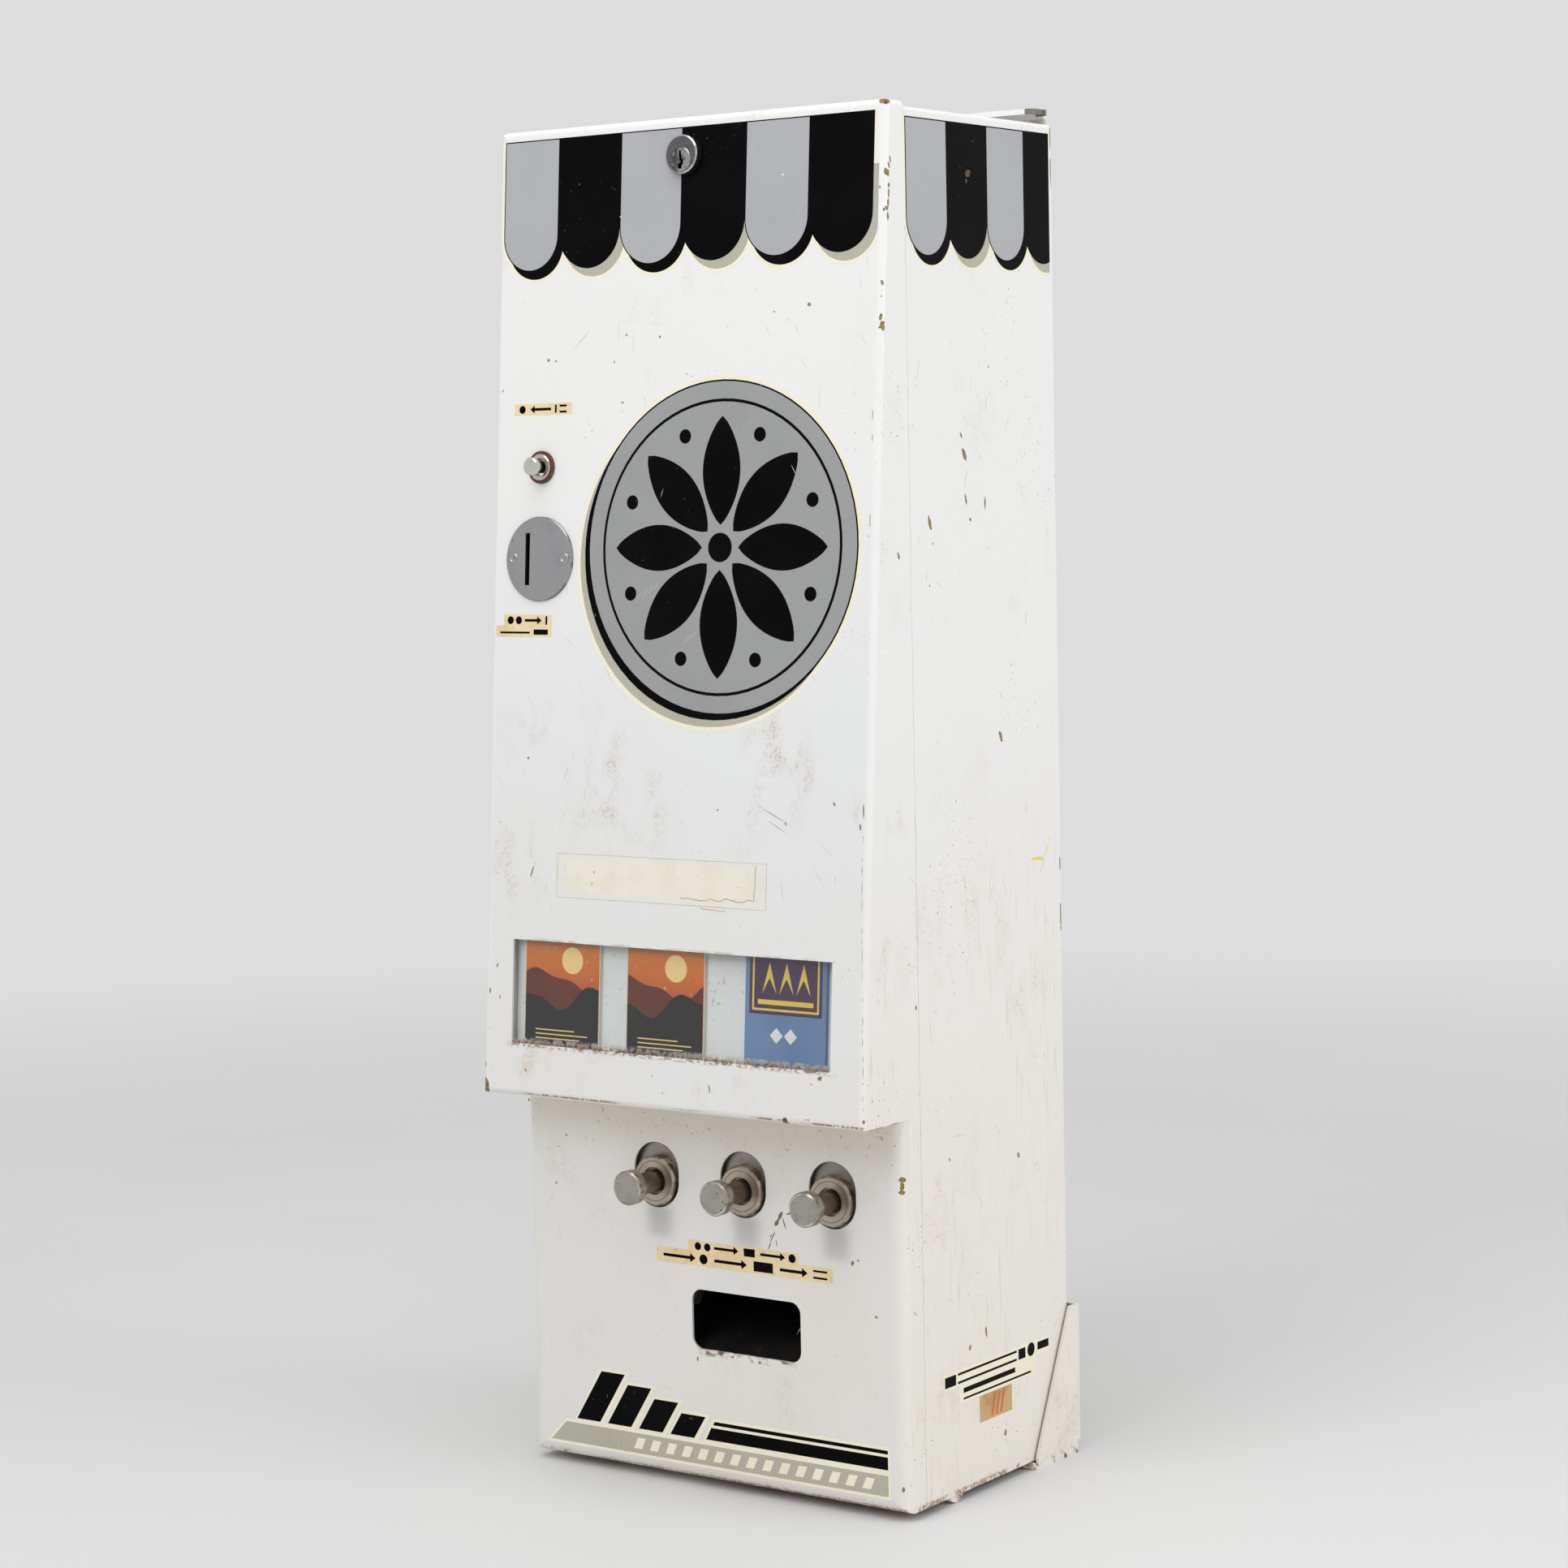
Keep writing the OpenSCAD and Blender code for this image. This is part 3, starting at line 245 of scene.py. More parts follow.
# Dirty places on the hood's face and chips at the ledge: X, height and reach in mm
DIRT_SPOTS = [(74, 444, 34), (92, 438, 20), (-16, 411, 26), (-50, 420, 40), (-118, 372, 30),
              (134, 414, 14), (-104, 462, 18), (30, 254, 18), (-100, 256, 24), (60, 250, 26)]
LEDGE_CHIPS = [(-139, 240.6, 4.4), (-139.4, 253.5, 2.2), (85.7, 237.5, 2.5)]


def enamel_layers(s, age):
    """White enamel with yellowed patches, feathery dirt, runs on the sides and specks; a warm tint
    towards the bottom is painted warm bounce light.

    age is 0 to 1. Gives back the noise of the patches and the mask of the dirt.
    """
    low = s.z.step(520, 60)
    beside = abs(s.x).step(137, 139.5)
    patch = s.noise(7, 3, 3)
    grains = s.spots(780, 3, 11, 0.52, 0.64, (1, 1, 0.7))
    threads = abs(s.noise(210, 4, 13, (1, 1, 0.8)) - 0.5).step(0.045, 0.012)
    cloud = s.spots(60, 5, 12, 0.44, 0.7, (1, 1, 0.6))
    feather = cloud * (grains * 0.45 + threads * 0.45 + 0.1)
    # Yellowed patches, and painted warm bounce light: the enamel gets warmer towards the bottom
    s.paint(s.spots(5, 3, 1, 0.4, 0.75) * (low * 0.3 + 0.08), AGED_AND_WARM_BOUNCE)
    s.paint(low * (0.3 + 0.25 * age), AGED_AND_WARM_BOUNCE)
    s.paint(feather * s.spots(13, 3, 8, 0.48, 0.66) * (low * 0.2 + 0.25), DUST)
    runs = s.spots(330, 3, 5, 0.55, 0.74, (1, 1, 0.08)) * s.z.step(460, 250) * beside
    s.paint(runs * s.spots(11, 2, 14, 0.44, 0.6, (1, 1, 0.5)) * 0.36, RUN)
    specks = (s.noise(560, 2, 17) + beside * 0.03).step(0.725, 0.75)
    s.paint(specks * s.spots(12, 2, 19, 0.52, 0.64) * 0.8, RUST)
    s.emboss(s.noise(240, 2, 31) * 0.05)
    s.emboss(s.noise(28, 2, 37) * 0.12)
    return patch, feather


def hood_dirt_and_shade(s, feather, from_side):
    """Feathery dirt on the hood, and cool painted shade that grows downwards on the fronts below
    the sign.
    """
    for x, z, reach in DIRT_SPOTS:
        spot = s.root(s.x - x, (s.z - z) * 0.8).step(reach, 0) * s.y.step(-60, -70)
        s.paint(spot * feather * 0.95, DUST)
    # Painted shade: the fronts below the sign get cooler and darker towards the bottom
    lower_front_painted_shade = s.z.step(640, 420) * s.y.step(-68, -73) * from_side.step(1, 6)
    s.paint(lower_front_painted_shade * 0.22, (204, 210, 218))


def worn_hood_corner(s, fleck):
    """Chips at the hood's upper right corner and bare metal on the rear edge below it."""
    tip = s.root(s.x - 137.5, s.y + 70, (s.z - 815.5) * 1.2)
    s.paint(tip.step(3.6, 3.0) * fleck.step(0.36, 0.44), (150, 122, 66))
    s.paint(tip.step(3.6, 3.2) * s.spots(500, 2, 43, 0.5, 0.58), RUST)
    rear = s.y.step(REAR_Y - 1.5, REAR_Y - 0.9) * s.x.step(136, 138) * s.z.near(798, 26)
    s.paint(rear * s.spots(110, 3, 45, 0.38, 0.48), (156, 138, 78))


def ledge_wear_and_shade(s, fleck, from_side):
    """Rubbed, rusted and chipped edge of the ledge; painted warm shade with rust specks on the wall
    below it, and grime with painted shade in the crease under it.
    """
    rub = s.root(s.y - LEDGE_Y + 1.4, s.z - LEDGE_Z + 0.3).step(1.1, 0.4)
    rub = rub * s.spots(60, 4, 53, 0.46, 0.56, (0.3, 1, 1))
    s.paint(rub * s.spots(500, 2, 54, 0.36, 0.5) * 0.9, RUBBED)
    edge = s.root(s.y - LEDGE_Y, s.z - LEDGE_Z).step(5.5, 2.5)
    s.paint(edge * s.spots(230, 4, 55, 0.69, 0.72, (0.6, 1, 1)), RUST)
    under = s.z.step(LEDGE_UNDER_Z + 0.9, LEDGE_UNDER_Z + 0.4) * s.y.step(-76, -80)
    under = under * from_side.step(2.4, 1.0)
    s.paint(under * s.spots(200, 4, 57, 0.4, 0.56, (1, 0.4, 1)) * 0.8, RUST)
    for x, z, reach in LEDGE_CHIPS:
        chip = s.root(s.x - x, (s.z - z) * 0.8).step(reach, reach - 0.5) * s.y.step(-106, -109)
        s.paint(chip * fleck.step(0.34, 0.42), BARE)
        s.paint(chip * s.spots(420, 3, 56, 0.5, 0.58), (74, 60, 40))
    # Painted warm shade on the wall below the ledge, with real rust specks in it
    wall = s.z.step(188, LEDGE_UNDER_Z) * s.z.step(240, 238) * s.y.step(-112, -108)
    wall = wall * s.y.step(-68, -73) * from_side.step(1, 8)
    s.paint(wall * 0.45, (218, 204, 178))
    s.paint(wall * s.spots(300, 4, 60, 0.64, 0.72) * 0.6, RUST)
    # Grime and painted shade in the crease under the ledge
    inner = s.root(s.y - FACE_Y, s.z - LEDGE_UNDER_Z).step(7, 1)
    s.paint(inner * s.spots(70, 4, 61, 0.45, 0.7, (0.5, 1, 1)) * 0.5, GRIME_AND_SHADE)


def worn_bottom(s):
    """Rust and a rubbed line along the bottom edge."""
    rust = s.z.step(12, 3) * s.spots(240, 5, 59, 0.58, 0.68)
    s.paint(rust * 0.85, RUST)
    hem = s.z.step(BOTTOM_Z + 4, BOTTOM_Z + 2) * s.spots(60, 4, 58, 0.42, 0.54, (0.3, 1, 1))
    s.paint(hem * s.spots(400, 3, 62, 0.34, 0.56) * 0.85, RUBBED)


def dirt_and_shade_at_openings(s):
    """Dirt at window and delivery opening, painted shadows below the buttons, and the coin hole
    painted near black as shade.
    """
    across = abs(s.x - WINDOW_X).step(WINDOW_W / 2 + 6, WINDOW_W / 2 - 4) * s.y.step(-95, -100)
    sill = abs(s.z - (SILL_Z - 0.4)).step(2.6, 0.3) * across
    s.paint(sill * s.spots(420, 4, 67, 0.42, 0.62, (0.7, 1, 1)) * 0.9, (136, 98, 66))
    head = abs(s.z - HEAD_Z).step(1.8, 0.4) * across
    s.paint(head * s.spots(80, 4, 71, 0.45, 0.7) * 0.6, GRIME_AND_SHADE)
    # Painted shadow: a soft dark smear below each push button
    painted_button_shadow = abs(from_button(s) - 2).step(14, 3) * s.z.near(164, 17) * s.z.step(172, 166)
    s.paint(painted_button_shadow * abs(s.x - COLUMN_X).step(92, 88) * s.y.step(-70, -74) * 0.22, SOOT_AND_SHADOW)
    mouth = abs(s.z - MOUTH_Z).step(4, 0.6) * abs(s.x - COLUMN_X).step(38, 30)
    s.paint(mouth * s.y.step(-70, -73) * s.spots(140, 4, 73, 0.44, 0.6), RUST)
    # Painted shade: the face round the coin slot, behind the coin plate, is near black
    hole = abs(s.x - SLOT_X).step(5, 4) * abs(s.z - COIN_Z).step(19, 18) * s.y.step(-60, -70)
    s.paint(hole, (14, 13, 12))


def right_side_marks(s):
    """Yellow smears on the right side and bare metal on its rear edge."""
    right = s.x.step(138, 139)
    grain = s.noise(300, 3, 79, (1, 0.3, 1))
    wedge = (abs(s.z - 373.2) - (s.y - 70.5) * 0.1).step(0.5, 0.0)
    wedge = wedge * s.y.step(70, 71.5) * s.y.step(85.4, 84)
    s.paint(wedge * right * grain.step(0.3, 0.46) * 0.9, (240, 205, 60))
    wipe = abs(s.y - 90.5 - (s.z - 380) * 0.3).step(2.4, 0.4) * s.z.near(380, 7)
    s.paint(wipe * right * grain.step(0.4, 0.54) * 0.6, (240, 214, 110))
    rear = s.y.step(REAR_Y - 1.4, REAR_Y - 0.8) * s.x.step(137, 138.5)
    rear = rear * s.z.step(312, 320) * s.z.step(378, 374)
    s.paint(rear * s.spots(90, 2, 80, 0.46, 0.5), (112, 106, 84))


def cover_enamel():
    """Enamel of the cover, with the wear that the photograph shows and painted shade below the
    sign, under the ledge, below the buttons and round the coin hole.
    """
    s = Shade("aged_enamel_and_painted_shade", ENAMEL)
    patch, feather = enamel_layers(s, 0.3)
    fleck = s.noise(210, 3, 41, (1, 1, 0.6))
    from_side = abs(s.x) * -1 + SIDE_X
    hood_dirt_and_shade(s, feather, from_side)
    worn_hood_corner(s, fleck)
    ledge_wear_and_shade(s, fleck, from_side)
    worn_bottom(s)
    dirt_and_shade_at_openings(s)
    right_side_marks(s)
    return s.done(patch * 0.16 + 0.27)


def plate_enamel():
    """Enamel of the back plate: a chip at its lip's end, grime and painted shade under the lip,
    rust at its foot, and grime with a painted gap shadow along its gussets.
    """
    s = Shade("worn_enamel_and_painted_shade", ENAMEL)
    patch, feather = enamel_layers(s, 0.6)
    fleck = s.noise(160, 4, 83)
    tip = abs(s.x).step(125.6, 126.0) * s.z.step(819.4, 819.8)
    s.paint(tip * fleck.step(0.3, 0.36) * 0.9, (92, 80, 70))
    # Grime and painted shade on the plate's face under the lip
    lip = s.z.step(804, 812) * s.z.step(818.2, 817.4)
    s.paint(lip * (feather * 0.5 + 0.4), (170, 156, 122))
    s.paint(s.z.step(9, 1) * fleck.step(0.52, 0.64), RUST)
    # Painted gap shadow with grime along the gusset's sloping edge
    gusset = (s.y - (s.z * 0.33 + 59.5)).step(2.4, 0.4) * s.z.step(128, 110)
    s.paint(gusset * fleck.step(0.4, 0.6) * 0.75, GRIME_AND_SHADE)
    return s.done(patch * 0.2 + 0.32)


def steel(name, base, stain, roughness, age=0.5, grain=(1, 1, 0.05), metallic=1.0):
    """Sheet or bar steel with rolled grain, dull clouds and brown staining."""
    s = Shade(name, base)
    cloud = s.noise(38, 4, 2)
    s.paint(cloud.step(0.4, 0.72) * 0.14, BLACK)
    s.paint(s.spots(120, 5, 6, 0.62 - 0.1 * age, 0.76) * (0.25 + 0.6 * age), stain)
    lines = s.noise(420, 3, 9, grain)
    s.emboss(lines * 0.05)
    return s.done(lines * 0.14 + cloud * 0.16 + (roughness - 0.15), metallic)


def button_metal():
    """Nickel-plated buttons: turned heads, brown patina on stems and edges, a painted highlight on
    the head's rim, and dirt with painted shade on the stems near the collars.
    """
    s = Shade("worn_nickel_and_painted_light", (167, 163, 156))
    radius = s.root(from_button(s), s.z - BUTTON_Z)
    face = s.y.step(-104.4, -104.8)
    stem = s.y.step(-98.5, -96)
    rim = radius.step(7.6, 10.2)
    cloud = s.noise(150, 4, 4)
    patina = s.noise(120, 5, 12, (1, 0.5, 1))
    s.paint(cloud.step(0.4, 0.7) * 0.45, (148, 144, 137))
    s.paint(rim * s.spots(260, 4, 7, 0.46, 0.62) * 0.75, (126, 98, 60))
    # Painted highlight: a bright ring on the head's rim chamfer
    painted_rim_highlight = radius.near(9.5, 0.7) * face * s.spots(90, 2, 9, 0.45, 0.6)
    s.paint(painted_rim_highlight * 0.8, (226, 222, 212))
    s.paint(stem * patina.step(0.4, 0.6) * 0.8, (128, 104, 70))
    # Dirt and painted shade: the stems darken towards the collars
    s.paint(s.y.step(-97, -90) * 0.6, (78, 62, 44))
    s.paint(face * s.spots(420, 3, 15, 0.66, 0.7), (96, 84, 62))
    s.emboss(s.math("SINE", radius * 9.0) * face * 0.006)
    s.emboss(s.noise(600, 2, 18) * 0.03)
    return s.done(cloud * 0.22 + stem * 0.1 + 0.22, patina.step(0.7, 0.45) * 0.3 + 0.7)


def collar_metal():
    """Turned steel collars, grey-brown with fine rings, the painted shade of a groove and a dark
    inner edge.
    """
    s = Shade("turned_collar_steel", (184, 172, 157))
    radius = s.root(from_button(s), s.z - BUTTON_Z)
    cloud = s.noise(110, 4, 4)
    s.paint(cloud.step(0.4, 0.7) * 0.4, (146, 133, 118))
    s.paint(radius.step(8.0, 6.9) * 0.85, (58, 48, 38))
    # Painted shade of a fine groove ring on the collar's face
    s.paint(radius.near(12.2, 0.45) * 0.6, (86, 74, 62))
    rust = radius.step(13.6, 15.2) * s.spots(160, 4, 7, 0.42, 0.6)
    s.paint(rust * 0.8, (92, 66, 40))
    s.emboss(s.math("SINE", radius * 7.0) * 0.008)
    s.emboss(s.noise(500, 2, 10) * 0.03)
    return s.done(cloud * 0.2 + 0.28, 0.9)


def coin_aluminium():
    """Satin aluminium with upright grain, small dents and brown dirt at the rim; the coin slot's
    walls are painted near black as shade.
    """
    s = Shade("satin_aluminium", (164, 164, 166))
    cloud = s.noise(60, 4, 2)
    s.paint(cloud.step(0.4, 0.72) * 0.4, (148, 148, 152))
    rim = s.root(s.x - COIN_X, s.z - COIN_Z).step(24.4, 25.4)
    s.paint(rim * s.spots(120, 4, 5, 0.46, 0.6) * 0.8, (120, 92, 64))
    s.paint(s.spots(330, 2, 8, 0.74, 0.76), (112, 84, 66))
    # Painted shade: the coin slot's walls are near black, rough and not metallic
    slot = abs(s.x - SLOT_X).step(1.8, 1.62) * abs(s.z - COIN_Z).step(15.8, 15.6)
    s.paint(slot, (12, 11, 10))
    grain = s.noise(700, 3, 11, (1, 1, 0.06))
    s.emboss(grain * 0.04)
    return s.done(grain * 0.18 + cloud * 0.1 + slot * 0.4 + 0.26, slot * -0.9 + 0.9)


def rivet_metal():
    """Satin rivet heads with brown specks."""
    s = Shade("satin_rivets", (170, 170, 172))
    cloud = s.noise(240, 4, 2)
    s.paint(cloud.step(0.5, 0.74) * 0.24, BLACK)
    s.paint(s.spots(420, 3, 6, 0.68, 0.73) * 0.8, (90, 74, 50))
    s.emboss(s.noise(900, 2, 9) * 0.02)
    return s.done(cloud * 0.14 + 0.25, 1.0)


def rosette_chrome():
    """Lock rosette: dark satin face inside a rim painted bright as a highlight."""
    s = Shade("lock_rosette_chrome", (104, 104, 108))
    rim = s.root(s.x - LOCK_X, s.z - LOCK_Z - 0.4).near(10.95, 0.5)
    cloud = s.noise(240, 4, 2)
    s.paint(cloud.step(0.45, 0.72) * 0.5, (80, 80, 84))
    # Painted highlight on the rim
    s.paint(rim * (cloud.step(0.62, 0.44) * 0.4 + 0.6), (204, 204, 204))
    s.paint(s.spots(420, 3, 6, 0.68, 0.73) * 0.6, (76, 66, 50))
    s.emboss(s.noise(900, 2, 9) * 0.02)
    return s.done(rim * -0.26 + cloud * 0.1 + 0.36, 1.0)


def plug_chrome():
    """Turning plug: bright face with painted dark reflections in patches, darker and browner
    towards one side with some tarnish.
    """
    s = Shade("plug_chrome", (168, 167, 166))
    cloud = s.noise(260, 4, 2)
    # Painted dark reflection with some tarnish: darker and browner towards the left
    s.paint(s.x.step(3, -5) * cloud.step(0.34, 0.58) * 0.9, (72, 65, 54))
    # Painted dark reflections in patches
    s.paint(cloud.step(0.5, 0.64) * 0.8, (86, 85, 85))
    s.emboss(s.noise(900, 2, 9) * 0.02)
    return s.done(cloud * 0.15 + 0.08, 1.0)


def chute_painted_shade():
    """Delivery chute, coloured near black as painted shade of its deep opening, scuffed where packs
    slide.
    """
    s = Shade("black_lacquer", (17, 15, 14))
    cloud = s.noise(45, 5, 2)
    s.paint(cloud.step(0.45, 0.75) * 0.6, (36, 31, 27))
    s.paint(s.spots(200, 4, 5, 0.64, 0.72, (1, 0.15, 1)) * 0.6, (70, 64, 58))
    s.emboss(s.noise(300, 3, 8) * 0.06)
    return s.done(cloud * 0.25 + 0.35)


def cast_iron():
    """Cast follower weights, rough and rusty in patches."""
    s = Shade("cast_weight_iron", (86, 84, 82))
    grains = s.noise(330, 4, 2)
    s.paint(grains.step(0.45, 0.7) * 0.6, (58, 56, 54))
    s.paint(s.spots(40, 5, 6, 0.56, 0.72) * 0.6, (110, 74, 48))
    s.emboss(grains * 0.28)
    return s.done(grains * 0.2 + 0.5, 0.55)


def pane_glass():
    """Clear pane with a little dust; light passes through to the packs."""
    s = Shade("dusty_pane", (250.5, 252.7, 251.6))
    haze = s.spots(70, 3, 3, 0.5, 0.8) * 0.05
    dust = haze + s.spots(500, 3, 5, 0.66, 0.72) * 0.25
    foot = (s.z - SILL_Z).step(4.5, 0.5) * s.spots(300, 3, 7, 0.4, 0.62)
    s.paint(dust, (206, 200, 188))
    s.paint(foot, (140, 108, 76))
    s.feed(foot * -0.85 + 1.0, s.surface.inputs["Transmission Weight"])
    material = s.done((dust + foot) * 0.5 + 0.02, IOR=1.45, Specular_IOR_Level=0.14)
    shadow_ray = s.add("LightPath").outputs["Is Shadow Ray"]
    s.blend(shadow_ray, s.surface, s.add("BsdfTransparent"), "Material Output")
    return material


def card(name, base, shaded):
    """Coated board with rubbed patches and fine tooth."""
    s = Shade(name, base)
    cloud = s.noise(26, 4, 2)
    s.paint(cloud.step(0.42, 0.72) * 0.5, shaded)
    s.paint(s.spots(300, 3, 6, 0.66, 0.72) * 0.4, (120, 112, 100))
    hairs = abs(s.noise(30, 1.5, 9, (1, 1, 0.3)) - 0.5).step(0.004, 0.0012)
    s.paint(hairs * s.spots(24, 2, 12, 0.52, 0.62) * 0.5, SOOT_AND_SHADOW)
    s.emboss(s.noise(500, 2, 15) * 0.03)
    return s.done(cloud * 0.15 + 0.38, Specular_IOR_Level=0.2)


def sunset_board():
    """Pack front that goes from dusk red at the foot to pale gold at the top."""
    s = Shade("sunset_board", (120, 44, 12))
    cloud = s.noise(40, 4, 2)
    height = s.z + cloud * 10
    left, middle = (abs(s.x - (PACK_U[side] + PACK_W / 2)) for side in ("left", "middle"))
    s.paint(height.step(272, 300), (182, 76, 12))
    s.paint(height.step(300, 326), (206, 108, 28))
    s.paint(height.step(322, 342), (206, 128, 56))
    s.paint(s.spots(320, 3, 6, 0.66, 0.71) * 0.3, (236, 226, 206))
    s.paint(s.math("MINIMUM", left, middle).step(27.9, 28.3), (216, 208, 190))
    s.emboss(s.noise(500, 2, 9) * 0.03)
    return s.done(cloud * 0.15 + 0.3, Specular_IOR_Level=0.15)


def vinyl(name, base, worn, dust=0.3, gloss=0.3):
    """Printed sticker film: fine grain, slight mottling, a few dust specks and dents."""
    s = Shade(name, base)
    cloud = s.noise(24, 4, 2)
    s.paint(cloud.step(0.4, 0.75) * 0.35, worn)
    s.paint(s.spots(700, 2, 5, 0.5, 0.7) * 0.25, worn)
    specks = s.spots(420, 3, 8, 0.71, 0.74) * s.spots(15, 2, 9, 0.5, 0.6)
    s.paint(specks * dust, (150, 138, 120))
    s.emboss(s.noise(700, 2, 5) * 0.015)
    s.emboss(s.noise(22, 2, 19) * 0.15)
    return s.done(cloud * 0.18 + 0.26, Specular_IOR_Level=gloss)


DOT_PITCH = 1.5554


def halftone_film():
    """Grey made of fine dark dots on cream, as on screen-printed film."""
    s = Shade("halftone_film", (206, 203, 186))
    wave = 2 * pi / DOT_PITCH
    dots = s.math("SINE", (s.x + s.y + s.z) * wave) * s.math("SINE", (s.x + s.y - s.z) * wave)
    s.paint(dots.step(-0.35, 0.45) * 0.75, (120, 118, 106))
    s.paint(s.spots(24, 4, 3, 0.45, 0.75) * 0.4, (170, 164, 140))
    return s.done(s.noise(40, 3, 7) * 0.2 + 0.28)


def aged_paper(name, base, stain, dirt=0.35):
    """Paper or film that has yellowed in patches."""
    s = Shade(name, base)
    s.paint(s.spots(60, 5, 2, 0.42, 0.7) * 0.7, stain)
    s.paint(s.spots(300, 3, 5, 0.6, 0.7) * dirt, GRIME_AND_SHADE)
    s.emboss(s.noise(260, 3, 8) * 0.05)
    return s.done(s.noise(50, 3, 11) * 0.25 + 0.4)


def chip_rust():
    """Bare, browned steel in a paint chip."""
    s = Shade("chip_bare_steel", (152, 128, 66))
    s.paint(s.spots(380, 4, 2, 0.52, 0.66), RUST)
    s.paint(s.spots(900, 2, 5, 0.6, 0.66) * 0.7, (60, 46, 34))
    s.emboss(s.noise(700, 3, 8) * 0.15)
    return s.done(s.noise(300, 3, 11) * 0.3 + 0.45)


# By the name of the CAD's material slot
MATERIALS = {
    "cover_enamel": cover_enamel(),
    "plate_enamel": plate_enamel(),
    # The chute's near black colour is painted shade of the delivery opening
    "black_lacquer": chute_painted_shade(),
    "zinc_steel": steel("zinc_plated_steel", (184, 186, 184), (150, 132, 108), 0.42, 0.3),
    "column_sheet": steel("column_sheet_steel", (172, 176, 178), (132, 122, 108), 0.4, 0.2),
    "grey_steel": steel("dull_grey_steel", (150, 144, 140), (104, 84, 66), 0.4, 0.6),
    "nickel": button_metal(),
    "turned_steel": collar_metal(),
    "bright_steel": steel("bright_steel", (190, 190, 188), (126, 104, 76), 0.3, 0.3, (1, 0.1, 1)),
    "spring_steel": steel("spring_wire_steel", (140, 140, 142), (104, 78, 52), 0.32,
                          grain=(1, 0.3, 1)),
    "cast_weight": cast_iron(),
    "pane_glass": pane_glass(),
    "tray_sheet": steel("tray_painted_sheet", (206, 206, 200), (150, 126, 96), 0.5, metallic=0.0),
    "card_white": card("display_board", (220, 222, 222), (200, 204, 206)),
    "pack_orange": sunset_board(),
    "pack_blue": card("blue_board", (100, 130, 170), (82, 112, 154)),
    "coin_aluminium": coin_aluminium(),
    "fibre": aged_paper("red_fibre", (96, 56, 46), (70, 40, 34), 0.15),
    "lock_chrome": rosette_chrome(),
    "lock_brass": plug_chrome(),
}
STRIPE_GREY = vinyl("stripe_grey_film", (176, 178, 181), (160, 162, 165))
SIGN_GREY = vinyl("sign_grey_film", (158, 160, 159), (144, 146, 145), 0.5)
STRIPE_BLACK = vinyl("stripe_black_film", (5, 5, 7), (18, 18, 20), 0.5, 0.04)
CREAM = vinyl("cream_border_film", (245, 240, 218), (238, 226, 190))
HALFTONE = halftone_film()
TAN_LABEL = aged_paper("tan_label_paper", (238, 218, 174), (226, 198, 146))
BROWN_LABEL = aged_paper("browned_label_paper", (206, 168, 112), (170, 122, 74))
RESIDUE = aged_paper("residue_film", (232, 231, 226), (228, 226, 216), 0.1)
GLUE = aged_paper("dried_glue", (237, 233, 219), (231, 225, 203), 0.1)
FILM_EDGE = aged_paper("film_edge", (206, 196, 176), (186, 162, 126), 0.3)
TORN_BROWN = aged_paper("torn_brown_edge", (188, 146, 98), (214, 188, 148), 0.3)
ORANGE_INK = vinyl("faded_orange_ink", (206, 104, 58), (190, 120, 80))
PURPLE_INK = vinyl("purple_ink", (66, 38, 76), (78, 52, 88), 0.3, 0.1)
YELLOW_INK = vinyl("yellow_ink", (222, 192, 62), (204, 176, 70))
GOLD_INK = vinyl("pale_gold_ink", (240, 208, 140), (232, 186, 104))
DUSK_INK = vinyl("dusk_brown_ink", (10, 7, 7), (26, 17, 15), 0.3, 0.05)
DUNE_INK = vinyl("dune_red_ink", (92, 32, 11), (108, 42, 17), 0.3, 0.08)
PALE_INK = vinyl("pale_ink", (226, 226, 222), (206, 206, 200))
CHIP = chip_rust()
CHIP_RIM = aged_paper("chip_dark_rim", (98, 74, 48), (66, 48, 34), 0.2)
SCRATCH = aged_paper("scratch_grey", (206, 200, 190), (190, 183, 172), 0.2)
SCRATCH_DARK = aged_paper("scratch_dark", (112, 106, 100), (88, 82, 76), 0.2)
SCUFF = aged_paper("film_scuff", (196, 198, 200), (182, 184, 186), 0.1)

# Pieces that differ from the rest of their slot
SPECIAL = {
    "coin_plate_rivets": rivet_metal(),
    # Coin selector coloured near black as painted shade, so the coin slot reads dark
    "coin_selector": steel("selector_steel_painted_shade", (24, 22, 21), (34, 28, 23), 0.6, metallic=0.2),
    "return_plunger": steel("bright_plunger", (214, 212, 206), (150, 130, 102), 0.19, 0.1,
                            (1, 0.15, 1)),
    "return_bush": steel("bright_bush", (208, 203, 194), (128, 108, 80), 0.22, 0.2, (1, 1, 1)),
}

for name, node in frame["nodes"].items():
    slot = node.data.materials[0].name.split(".")[0]
    node.data.materials.clear()
    node.data.materials.append(SPECIAL.get(name, MATERIALS[slot]))


# Geometry helpers

def on_hood(u, v, h):
    """Point on the hood's sloping face at X u and height v, h mm out of the face."""
    y = HOOD_Y - HOOD_SLOPE * (HOOD_Z - v)
    return Vector((u, y - h * cos(HOOD_LEAN), v + h * sin(HOOD_LEAN)))


def on_front(u, v, h):
    """The same on the lower box's front."""
    return Vector((u, FACE_Y - h, v))


def bend(u, radius, h):
    """Ways across and out of a face at u mm past the start of its right-angled bend."""
    arc = min(max(u, 0.0), radius * pi / 2)
    c, s = cos(arc / radius), sin(arc / radius)
    return (radius + h) * s + (u - arc) * c, (radius + h) * c - radius - (u - arc) * s


def on_edge(u, v, h):
    """Point on the hood's round right edge, u mm along the bend from the sloping face."""
    across, out = bend(u, HOOD_R, h)
    return on_hood(SIDE_X - HOOD_R + across, v, out)


